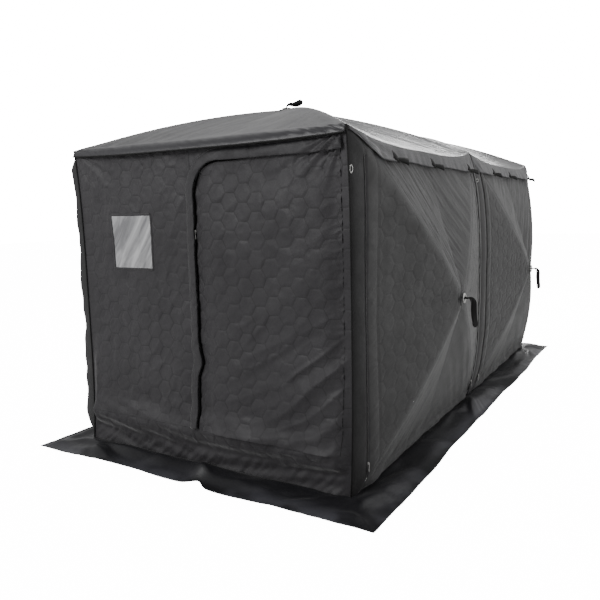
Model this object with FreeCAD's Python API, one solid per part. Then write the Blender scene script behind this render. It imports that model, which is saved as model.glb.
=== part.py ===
import FreeCAD, Part
import math
import os

# Insulated double-cube pop up shelter: two cubes end to end, six spring-out pole hubs,
# a zipped door in each end wall, a ground skirt all round and no floor.
# Millimetres. X runs across, Y along the shelter (front at -Y), Z up.
# The origin is on the ground, at the centre of the floor plan.

# Shelter
EAVE_HEIGHT = 1800.0
WIDTH = 1800.0
CUBE_LENGTH = 1900.0
CLOTH = 2.5  # quilted wall cloth
SKIRT_WIDTH = 218.0
SKIRT_CLOTH = 2.0
SKIRT_GAP = 1.5  # between the foot of a wall and the skirt's inner edge

# How far a panel's cloth stands out of its wall plane, at fractions of the way to the hub
CLOTH_RISE = ((0.0, 0.0), (1 / 3, 125.0), (2 / 3, 218.0), (0.918, 258.0))

# Hubs and poles, measured from a panel's corner along its diagonal, or out of its wall plane
HUB_PLANE = 242.0
HUB_RADIUS = 64.0
HUB_HALF_DEPTH = 14.0
HUB_COVER_RADIUS = 48.0
HUB_COVER_DEPTH = 5.0
HUB_CORE_RADIUS = 8.0  # the slots for the poles stop here
HUB_PIN_CIRCLE = 50.0
HUB_PIN_RADIUS = 2.5
HUB_PIN_LENGTH = 26.0
PIVOT_INSET = 90.0
PIVOT_DEPTH = 20.0  # inside the wall plane
PIVOT_PIN_RADIUS = 3.0
PIVOT_CLEARANCE = 0.05
ROD_RADIUS = 5.5
ROD_BOW = 46.0
TONGUE_THICKNESS = 7.0
TONGUE_HALF_HEIGHT = 9.0
TONGUE_LENGTH = 58.0
TONGUE_OVERLAP = 15.0  # how far the rod's line runs back over the tongue
SIDE_CLEARANCE = 0.3  # each side of a tongue
FERRULE_RADIUS = 8.0
FERRULE_LENGTH = 45.0
SLOT_TRAVEL = 31.0  # lets the hub pass the flat position
SLOT_HALF_WIDTH = 4.3

# Corner brackets
EAR = 4.0
EAR_REACH = 12.0  # past the pivot
EAR_HALF_HEIGHT = 11.0
CLEVIS_START = 40.0
BLOCK_NEAR = 8.0  # the block's faces, measured in from the wall planes
BLOCK_FAR = 42.0
MIDDLE_BLOCK_HALF = 34.0

# End walls: the doorway and window of the front one, X then Z
DOOR_LEFT, DOOR_RIGHT = 0.0, 860.0
DOOR_SILL, DOOR_HEAD = 250.0, 1700.0
DOOR_ARCH = 170.0
DOOR_GAP = 3.0
WINDOW_LEFT, WINDOW_RIGHT = -640.0, -330.0
WINDOW_SILL, WINDOW_HEAD = 1110.0, 1420.0
WINDOW_FILM = 1.0

# Hub pulls: grommet, stem and webbing loop
GROMMET_RADIUS, GROMMET_HOLE = 30.0, 16.0
GROMMET_OUT, GROMMET_DEPTH = 21.0, 5.0  # from the hub's middle plane
STEM_RADIUS, STEM_TOP = 6.0, 36.0
WEBBING = 30.0
LOOP_LENGTH, LOOP_DEPTH = 130.0, 12.0

# Zip sliders
SLIDER_WIDTH, SLIDER_DEPTH, SLIDER_HEIGHT = 10.0, 6.0, 14.0
TAB_WIDTH, TAB_DEPTH, TAB_LENGTH = 8.0, 2.0, 46.0
SLIDER_CLEARANCE = 0.5
SIDE_ZIP_INSET = 95.0  # from the panel's upright edge
SIDE_SLIDER_HEIGHT = 170.0
DOOR_SLIDER_X, DOOR_SLIDER_HEIGHT = -8.0, 1319.0

# Eave toggles, on each side panel
TOGGLE_PLACES = (-600.0, 0.0, 650.0)
TOGGLE_DROP = 150.0
TOGGLE_LENGTH, TOGGLE_WIDTH, TOGGLE_DEPTH = 60.0, 30.0, 6.0

# Worked out from the dimensions above
HALF_WIDTH = WIDTH / 2
HALF_CUBE = CUBE_LENGTH / 2
HALF_HEIGHT = EAVE_HEIGHT / 2
HALF_DIAGONAL = math.hypot(HALF_CUBE, HALF_WIDTH)
POLE_RUN = HALF_DIAGONAL - PIVOT_INSET - HUB_PIN_CIRCLE
POLE_LENGTH = math.hypot(POLE_RUN, HUB_PLANE + PIVOT_DEPTH)
POLE_ANGLE = math.degrees(math.atan2(HUB_PLANE + PIVOT_DEPTH, POLE_RUN))
CORNERS = ((-1, -1), (1, -1), (1, 1), (-1, 1))

Vec = FreeCAD.Vector
EAST = Vec(1, 0, 0)
NORTH = Vec(0, 1, 0)
UP = Vec(0, 0, 1)


def axes_placement(origin, x_axis, z_axis):
    """A placement with the given origin, X axis and Z axis."""
    y_axis = z_axis.cross(x_axis)
    rows = []
    for name in "xyz":
        rows += [getattr(v, name) for v in (x_axis, y_axis, z_axis, origin)]
    return FreeCAD.Placement(FreeCAD.Matrix(*rows, 0, 0, 0, 1))


def panel_frames():
    """Each hub panel's name, its frame, and its half sizes along the frame's X and Y."""
    frames = []
    for end, y in (("front", -HALF_CUBE), ("rear", HALF_CUBE)):
        for side, sign in (("right", 1), ("left", -1)):
            centre = Vec(sign * HALF_WIDTH, y, HALF_HEIGHT)
            frame = axes_placement(centre, NORTH * sign, EAST * sign)
            frames.append((f"{side}_{end}", frame, HALF_CUBE, HALF_HEIGHT))
        centre = Vec(0, y, EAVE_HEIGHT)
        frames.append((f"roof_{end}", axes_placement(centre, EAST, UP), HALF_WIDTH, HALF_CUBE))
    return frames


def moved(shape, placement):
    """A copy of the shape, carried from the local frame into the placement's."""
    copy = shape.copy()
    copy.Placement = placement.multiply(shape.Placement)
    return copy


def box(x_range, y_range, z_range):
    """A box between three pairs of limits."""
    low = Vec(x_range[0], y_range[0], z_range[0])
    high = Vec(x_range[1], y_range[1], z_range[1])
    size = high - low
    return Part.makeBox(size.x, size.y, size.z, low)


def cylinder(radius, length, middle, axis):
    """A cylinder centred on a point."""
    return Part.makeCylinder(radius, length, middle - axis * (length / 2), axis)


def prism(points, reach):
    """A flat outline, given by its corners, pushed out along a vector."""
    return Part.Face(Part.makePolygon(points + points[:1])).extrude(reach)


def half_turn(shape):
    """The same thing at the other end of the shelter."""
    copy = shape.copy()
    copy.rotate(Vec(0, 0, 0), UP, 180)
    return copy


# Cloth


def cloth_panel(half_x, half_y):
    """One hub panel: four facets, each of flat plates between the levels of CLOTH_RISE."""
    plates = []
    for a, b in zip(CORNERS, CORNERS[1:] + CORNERS[:1]):
        for low, high in zip(CLOTH_RISE, CLOTH_RISE[1:]):
            outline = []
            for (sign_x, sign_y), (share, rise) in ((a, low), (b, low), (b, high), (a, high)):
                left = 1 - share
                outline.append(Vec(sign_x * half_x * left, sign_y * half_y * left, rise))
            plates.append(prism(outline, UP * CLOTH))
    return Part.makeCompound(plates)


def wall_slab(x_range, z_range, depth=CLOTH):
    """A rectangle of the front end wall."""
    return box(x_range, (-CUBE_LENGTH - depth, -CUBE_LENGTH), z_range)


def arch_face(radius, offset):
    """The door's outline on the front wall's inner plane, set in by an offset."""
    left, right = DOOR_LEFT + offset, DOOR_RIGHT - offset
    low, high = DOOR_SILL + offset, DOOR_HEAD - offset
    centre_x, centre_z = left + radius, high - radius
    slant = radius * math.sqrt(0.5)

    def at(x, z):
        return Vec(x, -CUBE_LENGTH, z)

    arc = Part.Arc(at(centre_x, high), at(centre_x - slant, centre_z + slant), at(left, centre_z))
    sides = Part.makePolygon([at(left, centre_z), at(left, low), at(right, low), at(right, high),
                              at(centre_x, high)])
    return Part.Face(Part.Wire([arc.toShape()] + sides.Edges))


def end_wall():
    """The front end wall, in convex pieces round its window and doorway."""
    edge = HALF_WIDTH + CLOTH
    pieces = [
        wall_slab((-edge, DOOR_LEFT), (0, WINDOW_SILL)),
        wall_slab((-edge, DOOR_LEFT), (WINDOW_HEAD, EAVE_HEIGHT)),
        wall_slab((-edge, WINDOW_LEFT), (WINDOW_SILL, WINDOW_HEAD)),
        wall_slab((WINDOW_RIGHT, DOOR_LEFT), (WINDOW_SILL, WINDOW_HEAD)),
        wall_slab((DOOR_LEFT, edge), (0, DOOR_SILL)),
        wall_slab((DOOR_RIGHT + DOOR_GAP, edge), (DOOR_SILL, DOOR_HEAD)),
        wall_slab((DOOR_LEFT, edge), (DOOR_HEAD, EAVE_HEIGHT)),
    ]
    arch = (DOOR_LEFT, DOOR_LEFT + DOOR_ARCH)
    corner = wall_slab(arch, (DOOR_HEAD - DOOR_ARCH, DOOR_HEAD))
    doorway = arch_face(DOOR_ARCH, 0).extrude(NORTH * -CLOTH)
    pieces.append(corner.cut(doorway).Solids[0])
    return Part.makeCompound(pieces)


def door():
    """The front door, clear of its doorway all round."""
    return arch_face(DOOR_ARCH - DOOR_GAP, DOOR_GAP).extrude(NORTH * -CLOTH)


def window_panes():
    """The clear film in both end walls."""
    pane = wall_slab((WINDOW_LEFT, WINDOW_RIGHT), (WINDOW_SILL, WINDOW_HEAD), WINDOW_FILM)
    return Part.makeCompound([pane, half_turn(pane)])


def ground_skirt():
    """Four mitred strips of cloth on the ground."""
    inner_x, inner_y = HALF_WIDTH + CLOTH + SKIRT_GAP, CUBE_LENGTH + CLOTH + SKIRT_GAP
    outer_x, outer_y = inner_x + SKIRT_WIDTH, inner_y + SKIRT_WIDTH
    strips = []
    for a, b in zip(CORNERS, CORNERS[1:] + CORNERS[:1]):
        outline = [Vec(a[0] * inner_x, a[1] * inner_y), Vec(a[0] * outer_x, a[1] * outer_y),
                   Vec(b[0] * outer_x, b[1] * outer_y), Vec(b[0] * inner_x, b[1] * inner_y)]
        strips.append(prism(outline, UP * SKIRT_CLOTH))
    return Part.makeCompound(strips)


# Frame


def diagonal_frame(frame, corner, half_x, half_y):
    """The frame of one pole's plane: X from the panel's corner to the hub, Z out of the wall."""
    start = Vec(corner[0] * half_x, corner[1] * half_y, 0)
    towards = (start * -1).normalize()
    return frame.multiply(axes_placement(start, towards, UP))


def clevis():
    """The fork that holds a pole's corner end, in the pole's plane."""
    low, high = -PIVOT_DEPTH - EAR_HALF_HEIGHT, -PIVOT_DEPTH + EAR_HALF_HEIGHT
    inner = TONGUE_THICKNESS / 2 + SIDE_CLEARANCE
    outer = inner + EAR
    root = PIVOT_INSET - TONGUE_HALF_HEIGHT - 5 * SIDE_CLEARANCE
    fork = box((CLEVIS_START, root), (-outer, outer), (low, high))
    for y_range in ((inner, outer), (-outer, -inner)):
        fork = fork.fuse(box((root, PIVOT_INSET + EAR_REACH), y_range, (low, high)))
    pivot = Vec(PIVOT_INSET, 0, -PIVOT_DEPTH)
    pin = cylinder(PIVOT_PIN_RADIUS, 2 * outer, pivot, NORTH)
    return fork.cut(pin), pin


def bracket_block(x_sign, y_place, top):
    """The solid corner that a bracket's forks grow from."""
    x_range = sorted(x_sign * (HALF_WIDTH - d) for d in (BLOCK_NEAR, BLOCK_FAR))
    if y_place:
        y_range = sorted(y_place * (CUBE_LENGTH - d) for d in (BLOCK_NEAR, BLOCK_FAR))
    else:
        y_range = (-MIDDLE_BLOCK_HALF, MIDDLE_BLOCK_HALF)
    z_range = sorted(EAVE_HEIGHT - d if top else d for d in (BLOCK_NEAR, BLOCK_FAR))
    return box(x_range, y_range, z_range)


def corner_brackets():
    """Twelve brackets with their pivot pins: four at each end and four in the middle."""
    brackets = {}
    for x_sign in (-1, 1):
        for y_place in (-1, 0, 1):
            for top in (False, True):
                brackets[(x_sign, y_place, top)] = bracket_block(x_sign, y_place, top)
    fork, pin = clevis()
    pins = []
    for _, frame, half_x, half_y in panel_frames():
        for corner in CORNERS:
            place = diagonal_frame(frame, corner, half_x, half_y)
            spot = place.Base
            key = (int(math.copysign(1, spot.x)), round(spot.y / CUBE_LENGTH), spot.z > HALF_HEIGHT)
            brackets[key] = brackets[key].fuse(moved(fork, place))
            pins.append(moved(pin, place))
    solids = []
    for shape in brackets.values():
        solids += shape.removeSplitter().Solids
    return Part.makeCompound(solids + pins)


def bowed_bar(radius, start, span, bow, length=None):
    """A round bar bent to an arc in the XZ plane, or the first stretch of it."""
    arc_radius = (span * span / 4 + bow * bow) / (2 * bow)
    half_angle = math.asin(span / 2 / arc_radius)
    centre = Vec(start + span / 2, 0, bow - arc_radius)
    begin = Vec(start, 0, 0)
    tangent = Vec(math.cos(half_angle), 0, math.sin(half_angle))
    disc = Part.Face(Part.Wire([Part.Circle(begin, tangent, radius).toShape()]))
    sweep = 2 * half_angle if length is None else length / arc_radius
    return disc.revolve(centre, NORTH, math.degrees(sweep))


def pole():
    """One pole: X from its corner pivot to its hub pin, Z outward. The rod and two end fittings."""
    half = TONGUE_THICKNESS / 2
    height = (-TONGUE_HALF_HEIGHT, TONGUE_HALF_HEIGHT)
    start = TONGUE_LENGTH - TONGUE_OVERLAP
    end = POLE_LENGTH - SLOT_TRAVEL - TONGUE_LENGTH + TONGUE_OVERLAP
    span = end - start
    rod = bowed_bar(ROD_RADIUS, start, span, ROD_BOW)

    ferrule = bowed_bar(FERRULE_RADIUS, start, span, ROD_BOW, FERRULE_LENGTH)
    far_ferrule = ferrule.copy()
    far_ferrule.rotate(Vec((start + end) / 2, 0, 0), UP, 180)

    corner_end = box((0, TONGUE_LENGTH), (-half, half), height)
    corner_end = corner_end.fuse(cylinder(TONGUE_HALF_HEIGHT, 2 * half, Vec(), NORTH))
    corner_end = corner_end.fuse(ferrule).cut(rod)
    hole = cylinder(PIVOT_PIN_RADIUS + PIVOT_CLEARANCE, 4 * half, Vec(), NORTH)
    corner_end = corner_end.cut(hole)

    tip = Vec(POLE_LENGTH + 1, 0, 0)
    hub_end = box((end - TONGUE_OVERLAP, tip.x), (-half, half), height)
    hub_end = hub_end.fuse(cylinder(TONGUE_HALF_HEIGHT, 2 * half, tip, NORTH))
    hub_end = hub_end.fuse(far_ferrule).cut(rod)
    slot_ends = (POLE_LENGTH - SLOT_TRAVEL, POLE_LENGTH)
    hub_end = hub_end.cut(box(slot_ends, (-2 * half, 2 * half), (-SLOT_HALF_WIDTH, SLOT_HALF_WIDTH)))
    for x in slot_ends:
        hub_end = hub_end.cut(cylinder(SLOT_HALF_WIDTH, 4 * half, Vec(x, 0, 0), NORTH))
    return Part.makeCompound(rod.Solids + corner_end.Solids + hub_end.Solids)


def pole_name(panel, frame, corner, half_x, half_y):
    """A pole's name, from the panel corner that it springs from."""
    spot = frame.multVec(Vec(corner[0] * half_x, corner[1] * half_y, 0))
    middle = frame.Base
    length_word = "front" if spot.y < middle.y else "rear"
    if panel.startswith("roof"):
        other_word = "right" if spot.x > 0 else "left"
    else:
        other_word = "top" if spot.z > middle.z else "bottom"
    return f"{panel}_pole_{other_word}_{length_word}"


def hub(half_x, half_y):
    """A hub in its panel's frame: slotted disc, cover and four cross pins."""
    middle = Vec(0, 0, HUB_PLANE)
    disc = cylinder(HUB_RADIUS, 2 * HUB_HALF_DEPTH, middle, UP)
    low = HUB_PLANE + HUB_HALF_DEPTH
    cover = Part.makeCylinder(HUB_COVER_RADIUS, HUB_COVER_DEPTH, Vec(0, 0, low), UP)
    half_slot = TONGUE_THICKNESS / 2 + SIDE_CLEARANCE
    slot = box((HUB_CORE_RADIUS, 2 * HUB_RADIUS), (-half_slot, half_slot), (-low, low))
    pins = []
    for corner in CORNERS:
        outward = Vec(corner[0] * half_x, corner[1] * half_y, 0).normalize()
        turn = axes_placement(middle, outward, UP)
        pin = moved(cylinder(HUB_PIN_RADIUS, HUB_PIN_LENGTH, Vec(HUB_PIN_CIRCLE, 0, 0), NORTH), turn)
        disc = disc.cut(moved(slot, turn)).cut(pin)
        pins.append(pin)
    return Part.makeCompound(disc.Solids + [cover] + pins)


def hub_pull(towards):
    """A hub's outer pull in its panel's frame: grommet, stem and a webbing loop."""
    out = HUB_PLANE + GROMMET_OUT
    grommet = Part.makeCylinder(GROMMET_RADIUS, GROMMET_DEPTH, Vec(0, 0, out), UP)
    grommet = grommet.cut(cylinder(GROMMET_HOLE, 4 * GROMMET_DEPTH, Vec(0, 0, out), UP))
    stem_foot = HUB_PLANE + HUB_HALF_DEPTH + HUB_COVER_DEPTH
    stem_top = HUB_PLANE + STEM_TOP
    stem = Part.makeCylinder(STEM_RADIUS, stem_top - stem_foot, Vec(0, 0, stem_foot), UP)
    loop = box((-STEM_RADIUS, LOOP_LENGTH), (-WEBBING / 2, WEBBING / 2), (0, LOOP_DEPTH))
    loop = moved(loop, axes_placement(Vec(0, 0, stem_top), towards, UP))
    return Part.makeCompound([grommet, stem, loop])


# Zips and toggles


def zip_slider(rise):
    """A slider and its hanging tab: Y up the zip, Z out of the cloth, at a height off it."""
    half = SLIDER_WIDTH / 2
    body = box((-half, half), (0, SLIDER_HEIGHT), (rise, rise + SLIDER_DEPTH))
    top = rise + SLIDER_DEPTH
    tab = box((-TAB_WIDTH / 2, TAB_WIDTH / 2), (-TAB_LENGTH, SLIDER_HEIGHT / 2),
              (top, top + TAB_DEPTH))
    return Part.makeCompound([body, tab])


def panel_rise(distance, half_size):
    """How far the cloth's outer face stands out near a panel's edge, and its slope there."""
    share, rise = CLOTH_RISE[1]
    slope = rise / (share * half_size)
    return distance * slope + CLOTH, slope


def side_sliders(name, frame):
    """The two upright zips' sliders of a side panel, by name."""
    rise, slope = panel_rise(SIDE_ZIP_INSET, HALF_CUBE)
    clear = rise + slope * SLIDER_WIDTH / 2 + SLIDER_CLEARANCE
    sliders = {}
    for sign in (-1, 1):
        place = Vec(sign * (HALF_CUBE - SIDE_ZIP_INSET), SIDE_SLIDER_HEIGHT - HALF_HEIGHT, clear)
        shape = moved(zip_slider(0), frame.multiply(FreeCAD.Placement(place, FreeCAD.Rotation())))
        word = "front" if shape.CenterOfGravity.y < frame.Base.y else "rear"
        sliders[f"{name}_zip_slider_{word}"] = shape
    return sliders


def door_slider():
    """The slider on the front door's upright zip."""
    origin = Vec(DOOR_SLIDER_X, -CUBE_LENGTH - CLOTH, DOOR_SLIDER_HEIGHT)
    return moved(zip_slider(SLIDER_CLEARANCE), axes_placement(origin, EAST, NORTH * -1))


def eave_toggles(frames):
    """Three webbing ties under the eave of each side panel."""
    rise, slope = panel_rise(TOGGLE_DROP, HALF_HEIGHT)
    tilt = math.degrees(math.atan(slope))
    solids = []
    for name, frame, _, half_y in frames:
        if name.startswith("roof"):
            continue
        for along in TOGGLE_PLACES:
            toggle = box((-TOGGLE_LENGTH / 2, TOGGLE_LENGTH / 2),
                         (-TOGGLE_WIDTH / 2, TOGGLE_WIDTH / 2),
                         (SLIDER_CLEARANCE, SLIDER_CLEARANCE + TOGGLE_DEPTH))
            spot = Vec(along, half_y - TOGGLE_DROP, rise)
            lean = FreeCAD.Placement(spot, FreeCAD.Rotation(EAST, -tilt))
            solids.append(moved(toggle, frame.multiply(lean)))
    return Part.makeCompound(solids)


def build():
    """Every sub-part's shape, by node name."""
    frames = panel_frames()
    nodes = {
        "front_end_wall": end_wall(),
        "rear_end_wall": half_turn(end_wall()),
        "window_panes": window_panes(),
        "ground_skirt": ground_skirt(),
        "corner_brackets": corner_brackets(),
        "eave_toggles": eave_toggles(frames),
        "front_door": door(),
        "rear_door": half_turn(door()),
        "front_door_slider": door_slider(),
        "rear_door_slider": half_turn(door_slider()),
    }
    one_pole = pole()
    for name, frame, half_x, half_y in frames:
        roof = name.startswith("roof")
        wall_name = name.replace("roof", "roof_panel") if roof else f"{name}_side_wall"
        nodes[wall_name] = moved(cloth_panel(half_x, half_y), frame)
        nodes[f"{name}_hub"] = moved(hub(half_x, half_y), frame)
        if roof:
            towards = EAST if name.endswith("front") else EAST * -1
        else:
            towards = NORTH * -1
            nodes.update(side_sliders(name, frame))
        nodes[f"{name}_hub_pull"] = moved(hub_pull(towards), frame)
        for corner in CORNERS:
            place = diagonal_frame(frame, corner, half_x, half_y)
            rise = FreeCAD.Placement(Vec(PIVOT_INSET, 0, -PIVOT_DEPTH),
                                     FreeCAD.Rotation(NORTH, -POLE_ANGLE))
            label = pole_name(name, frame, corner, half_x, half_y)
            nodes[label] = moved(one_pole, place.multiply(rise))
    return nodes


os.makedirs("parts", exist_ok=True)
for node, shape in build().items():
    shape.exportStep(f"parts/{node}.step")
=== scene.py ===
import math

import bpy
import numpy as np
from mathutils import Matrix, Vector


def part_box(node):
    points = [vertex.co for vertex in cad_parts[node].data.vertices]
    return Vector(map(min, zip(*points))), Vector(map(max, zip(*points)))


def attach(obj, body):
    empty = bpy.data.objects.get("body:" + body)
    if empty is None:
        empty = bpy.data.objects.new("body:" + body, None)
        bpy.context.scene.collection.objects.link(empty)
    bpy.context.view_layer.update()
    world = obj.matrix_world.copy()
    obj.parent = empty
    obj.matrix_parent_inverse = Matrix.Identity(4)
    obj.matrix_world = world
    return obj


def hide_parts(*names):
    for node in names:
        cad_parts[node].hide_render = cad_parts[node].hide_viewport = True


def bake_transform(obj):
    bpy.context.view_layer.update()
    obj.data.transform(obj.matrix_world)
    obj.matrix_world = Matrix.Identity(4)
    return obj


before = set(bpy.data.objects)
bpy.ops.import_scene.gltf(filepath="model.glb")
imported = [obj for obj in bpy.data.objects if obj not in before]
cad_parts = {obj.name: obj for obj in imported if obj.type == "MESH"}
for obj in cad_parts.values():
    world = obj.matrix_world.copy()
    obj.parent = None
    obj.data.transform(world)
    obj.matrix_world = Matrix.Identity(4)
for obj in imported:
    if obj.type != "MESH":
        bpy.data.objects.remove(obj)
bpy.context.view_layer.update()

# The look of the insulated double-cube shelter, in metres. X runs across, Y along the shelter
# (front at -Y), Z up. Sizes that the frame knows are read from it.

# Camera
CAMERA_PLACE = (2.2097, -4.5152, 1.4178)
CAMERA_YAW, CAMERA_PITCH, CAMERA_ROLL = -31.0, -8.036, -1.3275  # degrees
CAMERA_LENS = 37.91

# Light
WORLD_LIGHT = 0.4
WORLD_GLEAM = 0.25  # added in reflections
BACKDROP_GLOW = 20.0  # added where the camera sees the white surround itself
FLOOR_GLOW = 15.0  # the same on the floor, so both are white in the picture
FLOOR_HALF = 30.0

# Frame sizes
WALL_LOW, WALL_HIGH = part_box("right_front_side_wall")
HALF_WIDTH = WALL_LOW.x
LENGTH = -WALL_LOW.y  # from the middle seam to an end wall
HEIGHT = WALL_HIGH.z
HALF_CUBE = LENGTH / 2
DOOR_LOW, DOOR_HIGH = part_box("front_door")
DOOR_GAP = 0.003
DOOR_LEFT, DOOR_RIGHT = DOOR_LOW.x - DOOR_GAP, DOOR_HIGH.x + DOOR_GAP
DOOR_SILL, DOOR_HEAD = DOOR_LOW.z - DOOR_GAP, DOOR_HIGH.z + DOOR_GAP
DOOR_ARCH = 0.17
PANE_LOW, PANE_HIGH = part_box("window_panes")
WINDOW_LEFT, WINDOW_RIGHT = PANE_LOW.x, PANE_LOW.x + (PANE_HIGH.z - PANE_LOW.z)
WINDOW_SILL, WINDOW_HEAD = PANE_LOW.z, PANE_HIGH.z
SKIRT_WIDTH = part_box("ground_skirt")[1].x - HALF_WIDTH
HUB_LOW, HUB_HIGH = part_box("right_front_hub")
HUB_PLANE = (HUB_LOW.x + HUB_HIGH.x) / 2 - HALF_WIDTH

# Cloth panels
HUB_RISE = 0.268  # cloth at the hub, out of the wall plane
RIDGE_BOW = 0.043
RIDGE_ROUNDING = 0.05  # share of the way to the hub
EAVE_SAG, EAVE_OUT = 0.062, 0.026
FRONT_EAVE_SAG, FRONT_EAVE_OUT = 0.014, 0.012
MIDDLE_BOW = 0.1
ROOF_MIDDLE_BOW = 0.05
CORNER_BOW = 0.018
SLACK_CORNER_BOW = -0.036  # the front left corner is drawn inward
GROMMET_HOLE = 0.016
BLEND_START, BLEND_END = 0.06, 0.985  # shares of the way to the hub
HEX_SIZE = 0.095  # flat to flat

# Trim
PIPING_RADIUS = 0.0045
FLAP_WIDTH = 0.058
ZIP_TAPE = 0.036
ZIP_KINK = 0.022
RECESS = 0.012  # width of the open dark gap beside the door's zip
EAVE_BAND = 0.040
EAVE_ROLL = 0.075  # how far in from the end eave the roof cloth starts to turn down
ZIP_INSET = 0.095
SEAM_INSET = 0.177


# Small mathematics


def smooth(low, high, x):
    """From 0 at low to 1 at high, with flat ends."""
    t = np.clip((np.asarray(x, float) - low) / (high - low), 0, 1)
    return t * t * (3 - 2 * t)


def bump(x, centre, width):
    """A bell of height 1."""
    return np.exp(-(((np.asarray(x, float) - centre) / width) ** 2))


def noise(x, y, seed):
    """Smooth gradient noise, about -1 to 1, with features one unit apart."""
    x, y = np.broadcast_arrays(np.asarray(x, float), np.asarray(y, float))
    size = 128
    angles = np.random.default_rng(seed).uniform(0, 2 * math.pi, (size, size))
    xi, yi = np.floor(x).astype(int), np.floor(y).astype(int)
    xf, yf = x - xi, y - yi

    def corner(dx, dy):
        angle = angles[(xi + dx) % size, (yi + dy) % size]
        return np.cos(angle) * (xf - dx) + np.sin(angle) * (yf - dy)

    u, v = smooth(0, 1, xf), smooth(0, 1, yf)
    low = corner(0, 0) * (1 - u) + corner(1, 0) * u
    high = corner(0, 1) * (1 - u) + corner(1, 1) * u
    return 1.5 * (low * (1 - v) + high * v)


def folds(x, y, angle, length, width, seed):
    """Noise stretched along an angle in degrees: long soft folds, -1 to 1."""
    c, s = math.cos(math.radians(angle)), math.sin(math.radians(angle))
    along, across = x * c + y * s, y * c - x * s
    wander = 0.35 * noise(x / length * 2, y / length * 2, seed + 7)
    return noise(along / length, across / width + wander, seed)


def creases(x, y, angle, length, width, seed):
    """Sharp-topped folds along an angle, 0 to 1."""
    return np.clip(1 - 2.2 * np.abs(folds(x, y, angle, length, width, seed)), 0, 1) ** 2


def crumple(x, y, size, seed):
    """Fine crumpled relief, about -1 to 1."""
    first = np.abs(noise(x / size, y / size, seed))
    second = np.abs(noise(x / size * 2.1 + 5, y / size * 2.1, seed + 1))
    return 1.1 - 2.2 * first - 0.8 * second


# The quilt's lines wander: (aside or up, size, waves per metre of the other, phase)
QUILT_WAVES = ((0, 0.007, 6.1, 0.0), (0, 0.004, 17.0, 1.3), (1, 0.006, 5.3, 0.7), (1, 0.004, 15.0, 2.1))


def hex_edge(x, y, size=HEX_SIZE):
    """Distance to the nearest line of a honeycomb whose cells have flat tops and bottoms."""
    x, y = np.asarray(x, float), np.asarray(y, float)
    flat, shifts = (x, y), [0, 0]
    for axis, amount, rate, phase in QUILT_WAVES:
        shifts[axis] = shifts[axis] + amount * np.sin(rate * flat[1 - axis] + phase)
    x, y = (x + shifts[0]) / size, (y + shifts[1]) / size
    step = math.sqrt(3)

    def offset(shift):
        a = np.mod(x - shift * step / 2 + step / 2, step) - step / 2
        b = np.mod(y - shift / 2 + 0.5, 1) - 0.5
        return a, b

    (ax, ay), (bx, by) = offset(0), offset(1)
    nearer = ax**2 + ay**2 < bx**2 + by**2
    dx, dy = np.abs(np.where(nearer, ax, bx)), np.abs(np.where(nearer, ay, by))
    return (0.5 - np.maximum(dy, dy / 2 + dx * step / 2)) * size


def quilting(x, y, depth):
    """The relief of a quilted cloth: padded cells with pulled-in stitch lines."""
    return depth * (0.75 - np.exp(-hex_edge(x, y) / 0.0075))


def arch_shape(s, power=3.2):
    """1 in the middle of an edge and 0 at its ends, for s from -1 to 1."""
    return 1 - np.clip(np.abs(s), 0, 1) ** power


# Meshes


def grid_piece(name, points, keep=None, material=None):
    """A smooth quad mesh from a rows x columns grid of points; keep marks the faces to make."""
    points = np.asarray(points, float)
    rows, columns, _ = points.shape
    index = np.arange(rows * columns).reshape(rows, columns)
    faces = np.stack([index[:-1, :-1], index[:-1, 1:], index[1:, 1:], index[1:, :-1]], -1)
    faces = faces.reshape(-1, 4) if keep is None else faces[keep]
    used, faces = np.unique(faces, return_inverse=True)
    faces = faces.reshape(-1, 4)
    return mesh_piece(name, points.reshape(-1, 3)[used], faces, material)


def mesh_piece(name, points, faces, material=None):
    """A smooth-shaded mesh object."""
    mesh = bpy.data.meshes.new(name)
    mesh.from_pydata([tuple(p) for p in np.asarray(points)], [], [tuple(map(int, f)) for f in faces])
    mesh.shade_smooth()
    piece = bpy.data.objects.new(name, mesh)
    bpy.context.scene.collection.objects.link(piece)
    if material:
        mesh.materials.append(material)
    return piece


def thicken(piece, thickness, offset=-1):
    """Gives a sheet its cloth thickness, as real geometry."""
    modifier = piece.modifiers.new("thickness", "SOLIDIFY")
    modifier.thickness = thickness
    modifier.offset = offset
    apply_modifiers(piece)
    return piece


def apply_modifiers(piece):
    """Bakes a piece's modifiers into its mesh."""
    evaluated = piece.evaluated_get(bpy.context.evaluated_depsgraph_get())
    mesh = bpy.data.meshes.new_from_object(evaluated)
    piece.modifiers.clear()
    piece.data = mesh


def along(points):
    """Distances along a path."""
    steps = np.linalg.norm(np.diff(points, axis=0), axis=1)
    return np.concatenate([[0], np.cumsum(steps)])


def resample(points, step):
    """A path's points at even steps."""
    points = np.asarray(points, float)
    distance = along(points)
    wanted = np.linspace(0, distance[-1], max(2, int(round(distance[-1] / step)) + 1))
    return np.stack([np.interp(wanted, distance, points[:, k]) for k in range(3)], axis=1)


def tangents(points):
    """Unit directions along a path."""
    direction = np.gradient(points, axis=0)
    return direction / np.linalg.norm(direction, axis=1, keepdims=True)


def ribbon_points(path, outward, profile):
    """Grid of points: a cross-section of (aside, out) pairs carried along a path."""
    path = np.asarray(path, float)
    outward = np.broadcast_to(np.asarray(outward, float), path.shape)
    side = np.cross(tangents(path), outward)
    side /= np.linalg.norm(side, axis=1, keepdims=True)
    profile = np.asarray(profile, float)
    if profile.ndim == 2:
        profile = np.broadcast_to(profile, (len(path), *profile.shape))
    return (path[:, None, :] + side[:, None, :] * profile[:, :, :1]
            + outward[:, None, :] * profile[:, :, 1:])


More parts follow.
